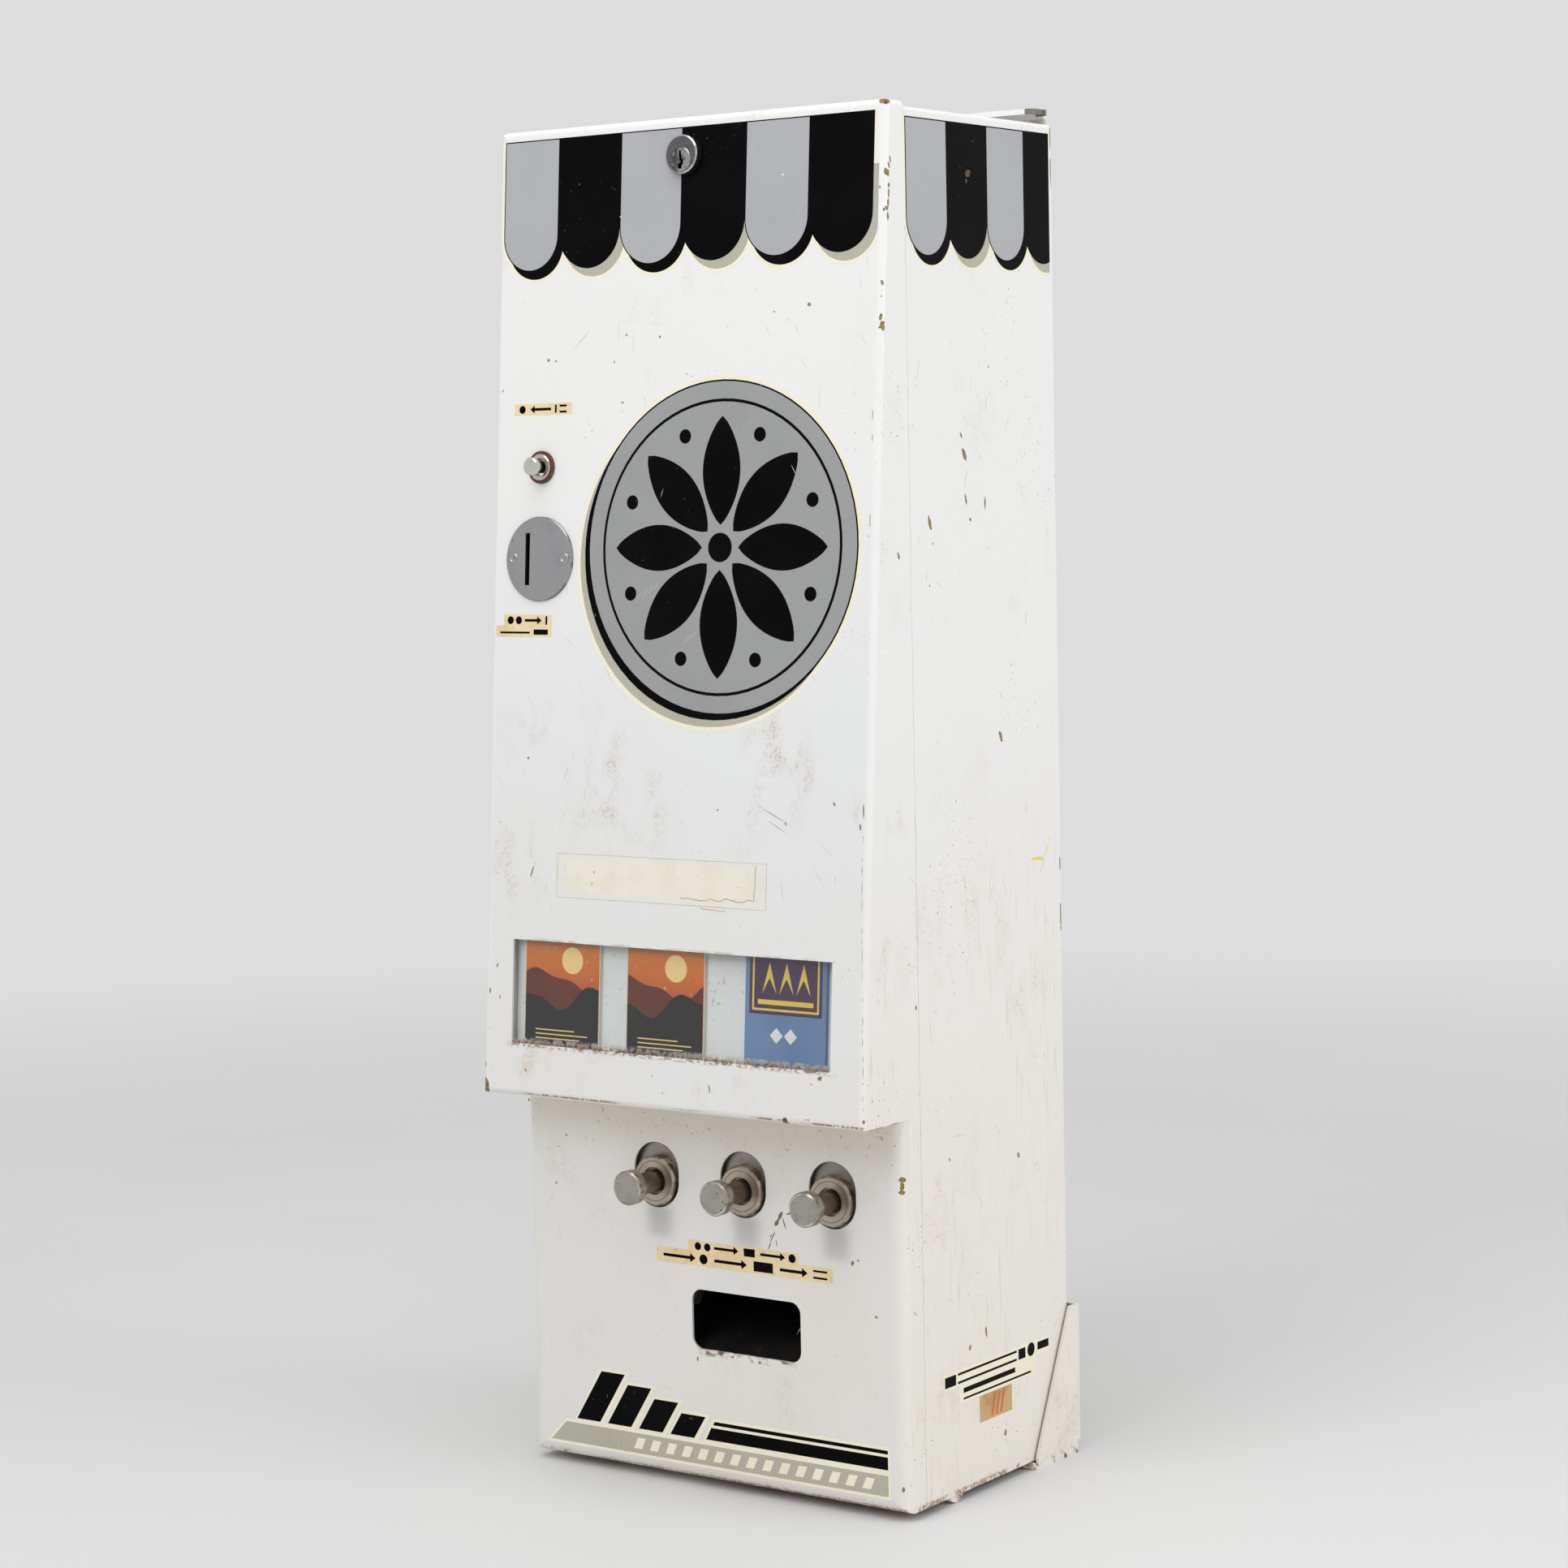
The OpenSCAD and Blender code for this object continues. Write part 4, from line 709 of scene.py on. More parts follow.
def on_corner(u, v, h):
    """The same on the lower box's round right corner, from its front."""
    across, out = bend(u, CORNER_R, h)
    return on_front(SIDE_X - CORNER_R + across, v, out)


def on_right(u, v, h):
    """Point on the right side at Y u and height v."""
    return Vector((SIDE_X + h, u, v))


def on_left(u, v, h):
    """The same on the left side."""
    return Vector((-SIDE_X - h, u, v))


def on_pack(u, v, h):
    """Point on the sample packs' fronts, which lie behind the hood's face."""
    return on_hood(u, v, h - PACK_DEPTH)


def solid(name, mesh, material):
    """Turns a bmesh into an object."""
    data = bpy.data.meshes.new(name)
    mesh.to_mesh(data)
    mesh.free()
    data.materials.append(material)
    made = bpy.data.objects.new(name, data)
    bpy.context.collection.objects.link(made)
    return made


def piece(name, mesh, material, body):
    """Turns a bmesh into an object that rides on a body."""
    made = solid(name, mesh, material)
    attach(made, body)
    return made


def sticker(name, where, outlines, height, material, body="cover", cuts=0):
    """Thin closed sheets, one per outline of (u, v) points in mm; cuts let them follow a bend."""
    mesh = bmesh.new()
    for k, outline in enumerate(outlines):
        pairs = zip(outline, outline[1:] + outline[:1])
        turn = sum(a[0] * b[1] - b[0] * a[1] for a, b in pairs)
        points = outline if turn > 0 else outline[::-1]
        top = [mesh.verts.new((u, v, height + SHEET_STEP * k)) for u, v in points]
        low = [mesh.verts.new((u, v, -SHEET_SUNK)) for u, v in points]
        mesh.faces.new(top)
        mesh.faces.new(low[::-1])
        for i, corner in enumerate(top):
            j = (i + 1) % len(top)
            mesh.faces.new((low[i], low[j], top[j], corner))
    mesh.normal_update()
    bmesh.ops.triangulate(mesh, faces=[f for f in mesh.faces if cuts or len(f.verts) > 4])
    if cuts:
        bmesh.ops.subdivide_edges(mesh, edges=mesh.edges, cuts=cuts, use_grid_fill=True)
    for vert in mesh.verts:
        vert.co = where(*vert.co) * MM
    bmesh.ops.recalc_face_normals(mesh, faces=mesh.faces)
    return piece(name, mesh, material, body)


def arc_points(u, v, r, start, sweep, steps):
    """Points of a circular arc with both its ends; angles in radians."""
    angles = [start + sweep * i / steps for i in range(steps + 1)]
    return [(u + r * cos(angle), v + r * sin(angle)) for angle in angles]


def disc(u, v, r, steps=72):
    return arc_points(u, v, r, 0.0, 2 * pi, steps)[:-1]


def turned(points, u, v, turn):
    """Points round the origin, turned by degrees and moved to (u, v)."""
    c, s = cos(radians(turn)), sin(radians(turn))
    return [(u + c * du - s * dv, v + s * du + c * dv) for du, dv in points]


def bar(u0, v0, u1, v1, slant=0.0):
    """A rectangle whose upper edge is moved sideways by slant."""
    return [(u0, v0), (u1, v0), (u1 + slant, v1), (u0 + slant, v1)]


def arrow(u0, u1, v, thick, head):
    """A straight arrow from u0 to u1 at height v."""
    way = 1 if u1 > u0 else -1
    neck = u1 - way * head
    return [(u0, v - thick / 2), (neck, v - thick / 2), (neck, v - head * 0.7), (u1, v),
            (neck, v + head * 0.7), (neck, v + thick / 2), (u0, v + thick / 2)]


def scallop(u0, u1, top, bottom, steps=28):
    """A hanging tongue with a half-round end."""
    r, middle = (u1 - u0) / 2, (u0 + u1) / 2
    return [(u1, top), (u0, top)] + arc_points(middle, bottom + r, r, pi, pi, steps)


def clip_u(outline, limit):
    """The part of an outline up to u = limit."""
    kept = []
    for a, b in zip(outline, outline[1:] + outline[:1]):
        if a[0] <= limit:
            kept.append(a)
        if (a[0] - limit) * (b[0] - limit) < 0:
            share = (limit - a[0]) / (b[0] - a[0])
            kept.append((limit, a[1] + share * (b[1] - a[1])))
    return kept


def notch(outline, u, v, r, steps=24):
    """An outline with a round bite where one of its upright edges crosses a disc."""
    middle = sum(point[0] for point in outline) / len(outline)
    cut = []
    for a, b in zip(outline, outline[1:] + outline[:1]):
        cut.append(a)
        reach = r * r - (a[0] - u) ** 2
        if abs(a[0] - b[0]) < 1e-6 and reach > 0 and min(a[1], b[1]) < v < max(a[1], b[1]):
            start = atan2(sqrt(reach), a[0] - u)
            sweep = -2 * start if middle > a[0] else 2 * (pi - start)
            bite = arc_points(u, v, r, start, sweep, steps)
            cut += bite if a[1] > b[1] else bite[::-1]
    return cut


def sliver(u, v, length, width, turn):
    """A scratch: a long, thin diamond turned by degrees."""
    corners = [(-length / 2, 0), (0, -width / 2), (length / 2, 0), (0, width / 2)]
    return turned(corners, u, v, turn)


def blob(u, v, w, h, turn, seed, count=18):
    """A ragged patch about w wide and h high, turned by degrees."""
    dice = random.Random(seed)
    points = []
    for i in range(count):
        angle = 2 * pi * i / count
        reach = 0.62 + 0.38 * dice.random()
        points.append((reach * w / 2 * cos(angle), reach * h / 2 * sin(angle)))
    return turned(points, u, v, turn)


# Awning on the hood and both sides

def awning(name, where, bounds, top, bottom, limit, lock=None):
    """Grey and black tongues with shadows on a cream border.

    bounds are the stripes' edges, limit is the last u that is covered, and lock is a hole.
    """
    stripes = list(zip(bounds, bounds[1:]))
    shadow_u, shadow_v, shadow_top = 4.0, 5.0, top - 30
    border, inset = 2.0, 0.7

    def cut(shapes):
        if lock:
            shapes = [notch(shape, *lock) for shape in shapes]
        return [clip_u(shape, limit) for shape in shapes]

    cream = [scallop(a - border, b + border, top, bottom - border) for a, b in stripes]
    cream += [scallop(a + shadow_u - border, b + shadow_u + border, shadow_top,
                      bottom - shadow_v - border) for a, b in stripes]
    shadows = [scallop(a + shadow_u, b + shadow_u, shadow_top, bottom - shadow_v)
               for a, b in stripes]
    black = [scallop(a, b, top, bottom) for a, b in stripes]
    grey = [scallop(a + inset, b - inset, top - inset, bottom + inset) for a, b in stripes[0::2]]
    sticker(name + "_border", where, cut(cream), 0.05, CREAM)
    sticker(name + "_halftone", where, cut(shadows[1::2]), 0.1, HALFTONE)
    sticker(name + "_shadow", where, cut(shadows[0::2]), 0.13, STRIPE_BLACK)
    sticker(name + "_black", where, cut(black), 0.16, STRIPE_BLACK)
    sticker(name + "_grey", where, cut(grey), 0.2, STRIPE_GREY)


awning("awning_front", on_hood, [-136.0, -94.0, -47.6, -2.1, 43.5, 88.5, 132.6], 810.4, 732.0,
       136.0, (LOCK_X, LOCK_Z, 10.8))
for side, where in (("right", on_right), ("left", on_left)):
    awning("awning_" + side, where, [-54.4, -11.2, 31.7, 73.3, 115.0], 807.8, 730.0, 102.0)


# Round sign with a petal rosette

SIGN_U, SIGN_V, SIGN_R = 31.0, 566.0, 96.0


def petal(turn, near, far, width, steps=20):
    """A leaf that points away from the sign's centre."""
    side = [(near + (far - near) * i / steps, width / 2 * sin(pi * i / steps) ** 0.75)
            for i in range(steps + 1)]
    return turned(side + [(r, -w) for r, w in side[-2:0:-1]], SIGN_U, SIGN_V, turn)


sticker("sign_border", on_hood,
        [disc(SIGN_U, SIGN_V, SIGN_R + 4.0), disc(SIGN_U - 6, SIGN_V - 7, SIGN_R + 3.5)],
        0.05, CREAM)
sticker("sign_halftone", on_hood, [disc(SIGN_U - 6, SIGN_V - 7, SIGN_R + 1.0)], 0.1, HALFTONE)
sticker("sign_shadow", on_hood,
        [disc(SIGN_U - 2.6, SIGN_V - 3, SIGN_R + 1.0), disc(SIGN_U, SIGN_V, SIGN_R + 1.0)],
        0.13, STRIPE_BLACK)
sticker("sign_face", on_hood, [disc(SIGN_U, SIGN_V, SIGN_R)], 0.17, SIGN_GREY)
sticker("sign_ring", on_hood, [disc(SIGN_U, SIGN_V, 86.0)], 0.2, STRIPE_BLACK)
sticker("sign_field", on_hood, [disc(SIGN_U, SIGN_V, 84.2)], 0.23, SIGN_GREY)
sticker("sign_rosette", on_hood,
        [petal(45 * k, 13, 76, 27) for k in range(8)] + [disc(SIGN_U, SIGN_V, 8.5, 40)]
        + [disc(*turned([(70, 0)], SIGN_U, SIGN_V, 45 * k + 22.5)[0], 4.2, 28) for k in range(8)],
        0.26, STRIPE_BLACK)


# Small labels with pictures instead of words

def label(name, where, papers, marks):
    """A tan paper label with a black picture."""
    sticker(name, where, papers, 0.06, TAN_LABEL)
    sticker(name + "_picture", where, marks, 0.1, STRIPE_BLACK)


label("return_label", on_hood, [bar(-125, 646, -81, 652.8)],
      [disc(-119, 649.4, 2.4, 24), arrow(-97, -113, 649.4, 1.6, 3.4), bar(-94, 647, -92.6, 651.8),
       bar(-90.4, 647, -85, 648.2), bar(-90.4, 650.6, -85, 651.8)])
label("coin_label", on_hood, [bar(-130, 519.6, -93, 526.4), bar(-136, 513, -93, 519.8)],
      [disc(-125, 523, 2.4, 24), disc(-118.6, 523, 2.4, 24), arrow(-114, -101, 523, 1.6, 3.4),
       bar(-98, 520.4, -96.6, 525.6), bar(-133, 515, -110, 516.2), bar(-107, 514.4, -96, 517.6)])
label("button_label", on_front, [bar(-15, 144.6, 66, 151.4), bar(-39, 136, 90, 145)],
      [disc(-8, 148, 2.4, 24), disc(-1, 148, 2.4, 24), arrow(4, 22, 148, 1.6, 3.6),
       bar(26, 145.6, 34, 150.4), arrow(38, 56, 148, 1.6, 3.6), disc(61, 148, 2.6, 24),
       arrow(-34, -10, 140.4, 1.8, 4), disc(-4, 140.4, 3, 24), arrow(4, 28, 140.4, 1.8, 4),
       bar(33, 137.4, 47, 143.4), arrow(52, 72, 140.4, 1.8, 4), bar(76, 137.8, 86, 139),
       bar(76, 141.8, 86, 143)])

# Slanted bars at the foot: left end, top and slant
FOOT_BARS = [(-104, 62, 20), (-80, 56, 16.2), (-56, 50, 12.5), (-32, 44, 8.8)]
sticker("foot_band_border", on_front,
        [[(-128.4, 12.8), (128, 12.8), (128, 29), (-112.6, 29)],
         [(-8, 28.6), (128, 28.6), (128, 43.8), (0.6, 43.8)]]
        + [bar(u - 2.2, 28.4, u + 20.4, top + 1.8, slant + 1) for u, top, slant in FOOT_BARS],
        0.05, CREAM)
sticker("foot_band", on_front, [[(-124.6, 14.6), (126.4, 14.6), (126.4, 27), (-112.6, 27)]],
        0.09, HALFTONE)
sticker("foot_band_black", on_front,
        [bar(u, 30, u + 18, top, slant) for u, top, slant in FOOT_BARS]
        + [[(-5, 30.4), (126.4, 30.4), (126.4, 38), (-1, 38)],
           [(0.4, 39.8), (126.4, 39.8), (126.4, 42), (1.6, 42)]], 0.12, STRIPE_BLACK)
sticker("foot_band_ticks", on_front,
        [bar(-60 + 12 * k, 17.4, -54 + 12 * k, 24.2, 3) for k in range(15)], 0.13, CREAM)

sticker("side_label", on_right, [bar(-35, 69.6, 84, 79), bar(-18, 58.8, 66, 70)], 0.05, CREAM)
sticker("side_label_black", on_right,
        [bar(-34, 71, -22, 77.4), bar(-20, 76, 46, 77.4), bar(-20, 71, 46, 72.4),
         bar(48, 71, 56, 77.4), bar(70, 72.6, 83, 77.4), disc(62.5, 74.6, 4.2, 28),
         bar(-14, 64.4, 44, 67.4), bar(-14, 60.4, 62, 61.6)], 0.09, STRIPE_BLACK)
sticker("origin_label", on_right, [bar(3.5, 42.4, 40, 58.4)], 0.06, BROWN_LABEL)
sticker("origin_label_stripes", on_right,
        [bar(16 + 5 * k, 44, 18.2 + 5 * k, 57, 4) for k in range(3)], 0.09, ORANGE_INK)


# Glue residue, paint chips, scratches and dust

def ragged_bar(u0, v0, u1, v1, rough, seed):
    """A rectangle with slightly torn edges."""
    dice = random.Random(seed)
    corners = [(u0, v0), (u1, v0), (u1, v1), (u0, v1)]
    points = []
    for a, b in zip(corners, corners[1:] + corners[:1]):
        count = max(4, int(dist(a, b) / 3))
        for i in range(count):
            t = i / count
            points.append((a[0] + t * (b[0] - a[0]) + dice.uniform(-rough, rough),
                           a[1] + t * (b[1] - a[1]) + dice.uniform(-rough, rough)))
    return points


def ribbon(points, width):
    """A narrow band along a line of (u, v) points."""
    sides = ([], [])
    for i, (u, v) in enumerate(points):
        a, b = points[max(i - 1, 0)], points[min(i + 1, len(points) - 1)]
        reach = width / 2 / dist(a, b)
        for side, sign in zip(sides, (1, -1)):
            side.append((u - sign * reach * (b[1] - a[1]), v + sign * reach * (b[0] - a[0])))
    return sides[0] + sides[1][::-1]


def torn_line(start, end, wave, seed):
    """Points from start to end that waver by about wave mm."""
    dice = random.Random(seed)
    count = int(dist(start, end) / 2.2)
    return [(start[0] + (end[0] - start[0]) * i / count + dice.uniform(-wave, wave) * 0.5,
             start[1] + (end[1] - start[1]) * i / count + dice.uniform(-wave, wave))
            for i in range(count + 1)]


# Corners of a torn film and what is left of it
FILM = [(-85, 384.2), (-85, 358), (69, 357.8), (69, 384.4)]
sticker("residue_film", on_hood, [ragged_bar(-85, 357.8, 69, 384.4, 0.2, 5)], 0.03, RESIDUE)
sticker("residue_glue", on_hood, [ragged_bar(-79, 361.4, 60, 381.2, 1.7, 6)], 0.045, GLUE)
sticker("residue_outline", on_hood,
        [ribbon(torn_line(a, b, 0.12, k), 0.34)
         for k, (a, b) in enumerate(zip(FILM, FILM[1:] + FILM[:1]))], 0.06, FILM_EDGE)
sticker("residue_torn_edge", on_hood,
        [ribbon(torn_line((8, 361.6), (60, 362.4), 1.0, 21), 0.5),
         ribbon(torn_line((60.5, 363), (61.2, 383), 0.5, 22), 0.55),
         ribbon(torn_line((22, 356.6), (40, 355.8), 0.4, 23), 0.45),
         blob(-57, 374, 0.9, 2.4, -30, 24), blob(-58.6, 367, 0.9, 2.8, -34, 25)], 0.07, TORN_BROWN)


def chips(name, where, spots, cuts=0):
    """Paint chips of (u, v, width, height, turn) that show bare steel within a dark rim."""
    layers = (("rim", 1.0, 0.03, CHIP_RIM), ("steel", 0.82, 0.05, CHIP))
    for part, share, height, material in layers:
        outlines = [blob(u, v, share * w, share * h, turn, k)
                    for k, (u, v, w, h, turn) in enumerate(spots)]
        sticker(name + "_" + part, where, outlines, height, material, cuts=cuts)


chips("side_chips", on_right,
      [(3, 617, 3.6, 10, 28), (0, 628, 2, 4, 30), (-35, 578, 3.2, 10, 14), (4, 591, 2.2, 8, 16),
       (8.5, 579, 2.6, 2.4, 0), (25, 588, 1.8, 9, 2), (38.5, 450, 3.2, 9, 24),
       (-68, 560, 2.4, 6, 20), (31, 668, 1.6, 1.6, 0), (-32, 566, 1.3, 1.6, 0),
       (-36, 542, 1.2, 1.6, 0), (-58, 300, 2, 3.4, 0), (51.5, 196, 2.4, 5, 20),
       (12, 96, 2.4, 8, 10), (-6, 90, 2.4, 4.4, -20), (32, 30, 2.6, 5, -20),
       (-25, 206, 1.6, 2.6, 0)])
chips("front_chips", on_front,
      [(50.5, 168.5, 2.6, 6, -35), (46, 160, 1.0, 2.4, -30), (104, 150, 2, 3.6, -30),
       (108, 152, 1.4, 1.8, 0), (-116, 176, 1.4, 2.2, 0), (-107, 206.5, 1.6, 1.6, 0),
       (-113.4, 199, 1, 1.2, 0), (-136, 226, 1.6, 2.6, 0), (-10, 79, 1.6, 3.6, 0),
       (120, 120, 2.6, 1.8, -20), (36, 82.5, 2.8, 2, 0), (16, 83.4, 2, 1.5, 0),
       (-114, 7.9, 3, 2.6, 0), (-125, 8.6, 1.2, 1.4, 0)])
chips("hood_chips", on_hood,
      [(90.2, 703.5, 2.7, 2.7, 0), (-16.2, 689.3, 1.7, 1.7, 0), (-49.6, 675.8, 1.3, 1.5, 0),
       (-99.7, 678.5, 2.4, 2, 30), (-94, 677.8, 1.8, 1.3, 0), (-40.9, 691.2, 1.2, 2, 20),
       (-42.9, 651.7, 2.4, 1.2, 10), (65.9, 700.4, 1.2, 1.6, 20), (-134.6, 661.1, 1, 2.2, 0),
       (115.2, 420.5, 1.7, 2.8, 30), (-109.2, 440.3, 1.6, 1.9, -30), (33.1, 414.2, 1.6, 1.2, 0),
       (81.7, 408.1, 1, 3, 10), (109.3, 264.4, 4.2, 2.8, 20), (103.5, 260.6, 1.5, 0.9, 0),
       (-104.5, 372, 1.1, 9, -22), (-135.4, 298.7, 1.6, 4, 0), (-130.1, 314.3, 1.2, 3.4, -10),
       (-127.7, 295.3, 1, 3, 10), (31.5, 252, 1.1, 6, 14), (-106.6, 252.4, 1.5, 1.5, 0),
       (-10.4, 256.4, 1, 1, 0), (-2.5, 247, 1.1, 1.1, 0), (44, 268, 1.4, 2.2, 20)])
chips("edge_chips", on_edge,
      [(7.2, 783, 1.5, 5, 15), (6.2, 779.5, 2, 4.4, 25), (4.6, 775.5, 3.8, 5.4, 20),
       (6.5, 768.5, 2.4, 3.2, 0), (6.6, 764, 1.8, 6.4, -4), (6.3, 758.5, 2, 5.6, 4),
       (5.2, 755.5, 2.8, 3.2, 30), (6.2, 751.2, 2.4, 5.8, 6), (3.4, 754.5, 1.5, 2.4, 0),
       (0.8, 767, 1.2, 2, 30), (3.4, 713.7, 2, 3.4, 20), (3.1, 706, 0.7, 1.4, 0),
       (3, 694.5, 2, 5.4, -12), (3.9, 690.5, 3.2, 5.2, -20), (4.6, 688.3, 2.6, 3.8, 0),
       (2.6, 688.6, 1.8, 1.5, 0), (-0.6, 640, 0.5, 7, 0), (-0.4, 627, 0.5, 5, 2),
       (-0.7, 581, 0.5, 9, 0), (-0.7, 417, 1.1, 10, 2), (-2.6, 408, 1.4, 4, 10),
       (3.6, 242, 2.2, 2.6, 0)], cuts=3)
chips("corner_chips", on_corner,
      [(8.5, 201.8, 4.8, 3.8, 0), (8.3, 197.8, 3.2, 6, 0), (8, 194.4, 4.4, 3.2, 0),
       (6, 20, 2, 4, 0)], cuts=3)


def edge_crack():
    """Dashes of a hairline crack along the hood's right edge, from the ledge upwards."""
    dice = random.Random(3)
    dashes = []
    v = 248.0
    while v < 402:
        length = 1.0 + 11.0 * dice.random() ** 2
        u = 3.1 - 3.8 * min(1.0, (v - 248) / 120) + dice.uniform(-0.12, 0.12)
        dashes.append(sliver(u, v + length / 2, length, dice.uniform(0.14, 0.36), 90))
        v += length + 0.3 + 9.0 * dice.random() ** 3
    return dashes


def scratches(count, seed, u_range, v_range):
    """Fine scratches at random places, most of them steep."""
    dice = random.Random(seed)
    return [sliver(dice.uniform(*u_range), dice.uniform(*v_range), 2.5 + 13 * dice.random() ** 2,
                   dice.uniform(0.14, 0.28), dice.gauss(100, 34)) for _ in range(count)]


sticker("awning_dents", on_hood,
        [blob(70.1, 778.2, 3.0, 1.0, 10, 31), blob(-47, 761, 1.0, 1.0, 0, 32)], 0.24, CREAM)
sticker("awning_side_chip", on_right,
        [blob(11.4, 779.2, 7.0, 4.6, 20, 33), blob(9.5, 774.6, 2.4, 3.0, 0, 34)], 0.24, CHIP_RIM)
sticker("edge_crack", on_edge, edge_crack(), 0.04, SCRATCH_DARK, cuts=1)
sticker("hood_scratches", on_hood, scratches(80, 11, (-130, 130), (345, 728)), 0.03, SCRATCH)
sticker("front_scratches", on_front, scratches(30, 12, (-125, 125), (20, 225)), 0.03, SCRATCH)
sticker("side_scratches", on_right, scratches(70, 13, (-60, 95), (90, 720)), 0.03, SCRATCH)
sticker("deep_scratches", on_hood,
        [sliver(73.2, 412.6, 27, 0.4, -24), sliver(75.5, 406.2, 17, 0.34, -27)],
        0.035, SCRATCH_DARK)
sticker("button_scrape", on_front,
        [blob(53, 172.5, 2.6, 8, -30, 81), blob(56, 168, 1.1, 8, 18, 82),
         blob(47.5, 160, 1.0, 9, -30, 83), blob(45, 154, 0.8, 7, -25, 84),
         blob(50, 156, 0.7, 5, 5, 85), blob(59, 174.5, 4, 1.2, 20, 86)], 0.028, SCRATCH_DARK)
sticker("sign_scuffs", on_hood,
        [sliver(-27 + 4.2 * k, 538 + 2 * k, 11 - k, 0.45, 58) for k in range(4)]
        + [sliver(8 + 3 * k, 512 + 2 * k, 12 - 2 * k, 0.4, 50 + 4 * k) for k in range(3)]
        + [sliver(82, 610, 7, 0.4, 120), sliver(-12, 598, 6, 0.35, 70)], 0.3, SCUFF)


def dust_crumbs():
    """Loose rust and dust that lies on the lower cut edge of the window."""
    dice = random.Random(8)
    mesh = bmesh.new()
    for _ in range(420):
        u = WINDOW_X + (dice.random() ** 0.8 - 0.5) * (WINDOW_W - 3)
        size = 0.22 + 0.75 * dice.random() ** 3
        centre = on_hood(u, SILL_Z + 0.35 * size, -1.35 * dice.random() - 0.1)
        lump = bmesh.ops.create_icosphere(mesh, subdivisions=1, radius=size * MM)["verts"]
        for vert in lump:
            vert.co = vert.co * dice.uniform(0.65, 1.2)
            vert.co.z *= 0.7
            vert.co += centre * MM
    return piece("window_dust", mesh, CHIP, "cover")


dust_crumbs()


# Pictures on the sample packs

PACK_FOOT_Z = 266.2


def dunes(u0, u1, base, rise, phase, steps=30):
    """A wavy hill line across a pack, closed along the pack's foot."""
    line = []
    for i in range(steps + 1):
        t = i / steps
        wave = sin(phase + 5.2 * t) + 0.4 * sin(2 * phase + 11 * t)
        line.append((u0 + (u1 - u0) * t, base + rise * wave))
    return [(u0, PACK_FOOT_Z), (u1, PACK_FOOT_Z)] + line[::-1]


for side, shift in (("left", 0.0), ("middle", 0.9)):
    left = PACK_U[side]
    u0, u1 = left + 0.7, left + PACK_W - 0.7
    for part, outlines, height, ink in (
            ("sun", [disc(left + 36, 320, 8.0, 40)], 0.06, GOLD_INK),
            ("far_dune", [dunes(u0, u1, 308, 5.5, 0.4 + shift)], 0.09, DUNE_INK),
            ("near_dune", [dunes(u0, u1, 298, 6.5, 2.6 + shift)], 0.12, DUSK_INK),
            ("rules", [bar(u0 + 8, 272, u1 - 14, 272.7), bar(u0 + 8, 274.6, u1 - 8, 275.3),
                       bar(u0 + 8, 277.2, u1 - 18, 277.9)], 0.15, GOLD_INK)):
        sticker("pack_" + part + "_" + side, on_pack, outlines, height, ink)

BLUE_U = PACK_U["right"]
sticker("pack_panel", on_pack, [bar(BLUE_U + 3, 298, BLUE_U + 54, 331.6)], 0.06, PURPLE_INK)
sticker("pack_frame", on_pack,
        [bar(BLUE_U + 5, 300, BLUE_U + 52, 301.3), bar(BLUE_U + 5, 301.3, BLUE_U + 6.3, 331.4),
         bar(BLUE_U + 50.7, 301.3, BLUE_U + 52, 331.4), bar(BLUE_U + 9, 303.6, BLUE_U + 48, 306.4)]
        + [[(u - 5, 310), (u, 319), (u + 5, 310), (u, 328)]
           for u in (BLUE_U + 17, BLUE_U + 29, BLUE_U + 41)], 0.1, YELLOW_INK)
sticker("pack_marks", on_pack,
        [disc(u, 286, 4.5, 4) for u in (BLUE_U + 22.5, BLUE_U + 32.5)], 0.1, PALE_INK)


# Return springs of the push buttons

def coil(name, x, y0, y1, z):
    """A round-wire compression spring along Y with closed end turns."""
    mesh = bmesh.new()
    steps, around = 28 * SPRING_TURNS, 14
    rows = []
    for i in range(steps + 1):
        t = i / steps
        turn = 2 * pi * SPRING_TURNS * t
        ease = 0.5 - 0.5 * cos(pi * t)
        along = y0 + WIRE_R + (y1 - y0 - 2 * WIRE_R) * (0.35 * ease + 0.65 * t)
        out = Vector((cos(turn), 0, sin(turn)))
        ring = []
        for j in range(around):
            angle = 2 * pi * j / around
            offset = out * (SPRING_R + WIRE_R * cos(angle)) + Vector((0, WIRE_R * sin(angle), 0))
            ring.append(mesh.verts.new((Vector((x, along, z)) + offset) * MM))
        rows.append(ring)
    for a, b in zip(rows, rows[1:]):
        for j in range(around):
            k = (j + 1) % around
            mesh.faces.new((a[j], b[j], b[k], a[k])).smooth = True
    mesh.faces.new(rows[0])
    mesh.faces.new(rows[-1][::-1])
    bmesh.ops.recalc_face_normals(mesh, faces=mesh.faces)
    return piece(name, mesh, MATERIALS["spring_steel"], "chassis")


for side in ("left", "middle", "right"):
    low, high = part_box("spring_" + side)
    middle = (low + high) / 2 / MM
    spring = coil("return_spring_" + side, middle.x, low.y / MM, high.y / MM, BUTTON_Z)
    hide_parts("spring_" + side)
    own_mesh(spring)


# Floor, light and camera

FLOOR_TONE = (221, 221, 221)


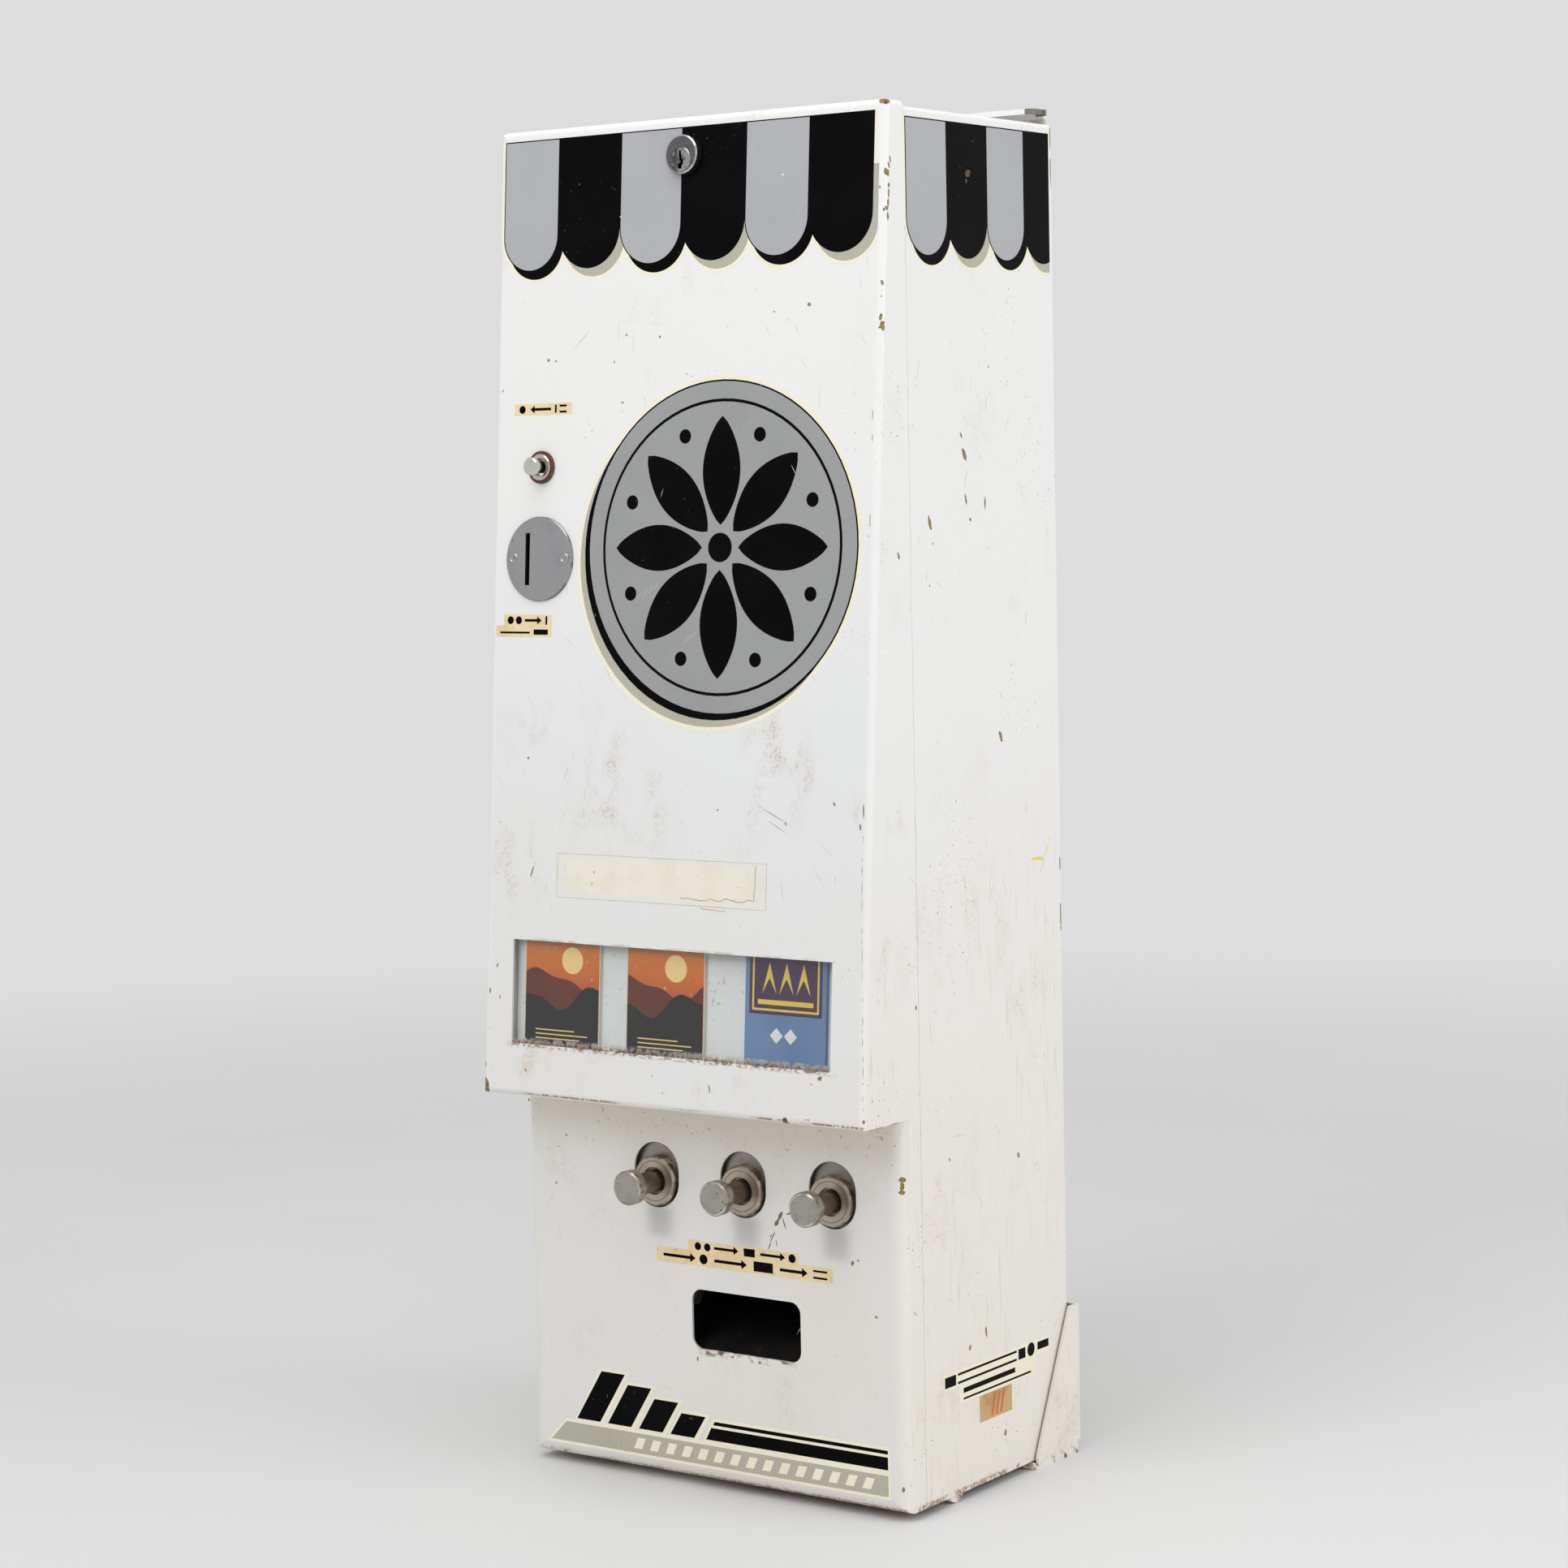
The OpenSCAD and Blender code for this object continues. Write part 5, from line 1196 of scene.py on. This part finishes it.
def floor():
    """A pale round floor that fades into the background."""
    mesh = bmesh.new()
    bmesh.ops.create_circle(mesh, cap_ends=True, segments=96, radius=40)
    s = Shade("pale_floor", FLOOR_TONE)
    far = s.root(s.x, s.y).step(900, 2600)
    s.paint(s.spots(3, 3, 2, 0.4, 0.7) * 0.15, (208, 208, 206))
    glow = s.add("Emission", Color=tone(*FLOOR_TONE))
    made = solid("floor", mesh, s.done(s.noise(6, 3, 5) * 0.1 + 0.6))
    s.blend(far, s.surface, glow, "Material Output")


def soft_light(name, location, target, size, power):
    """A round area lamp that points at a target."""
    lamp = bpy.data.lights.new(name, "AREA")
    lamp.shape = "DISK"
    lamp.size = size
    lamp.energy = power
    made = bpy.data.objects.new(name, lamp)
    made.location = location
    made.rotation_euler = (Vector(target) - Vector(location)).to_track_quat("-Z", "Y").to_euler()
    bpy.context.collection.objects.link(made)


def world(ambient):
    """Even light, and the floor's tone where the background is seen or mirrored."""
    made = bpy.data.worlds.new("studio")
    nodes = Nodes(made)
    light = nodes.tree.nodes["Background"]
    nodes.fill(light, {"Color": (1, 1, 1, 1), "Strength": ambient})
    seen = nodes.add("Background", Color=tone(*FLOOR_TONE))
    rays = nodes.add("LightPath").outputs
    share = nodes.math("MAXIMUM", rays["Is Camera Ray"], rays["Is Glossy Ray"])
    share = nodes.math("MAXIMUM", share, rays["Is Transmission Ray"])
    nodes.blend(share, light, seen, "World Output")
    bpy.context.scene.world = made


floor()
world(0.62)
soft_light("overhead", (0.3, -0.9, 2.8), (0, 0, 0.5), 2.2, 22)
soft_light("front_high", (-0.3, -2.9, 2.5), (0, 0, 0.4), 1.8, 24)
soft_light("right", (2.6, 0.4, 1.6), (0, 0, 0.45), 1.8, 21)

camera = bpy.data.objects.new("camera", bpy.data.cameras.new("camera"))
camera.location = (1.269518, -1.773967, 0.605367)
camera.rotation_euler = (1.485973, 0.020209, 0.61613)
camera.data.lens = 82.6325
camera.data.sensor_width = 36.0
camera.data.clip_start = 0.01
bpy.context.collection.objects.link(camera)
bpy.context.scene.camera = camera
bpy.context.scene.view_settings.view_transform = "Standard"
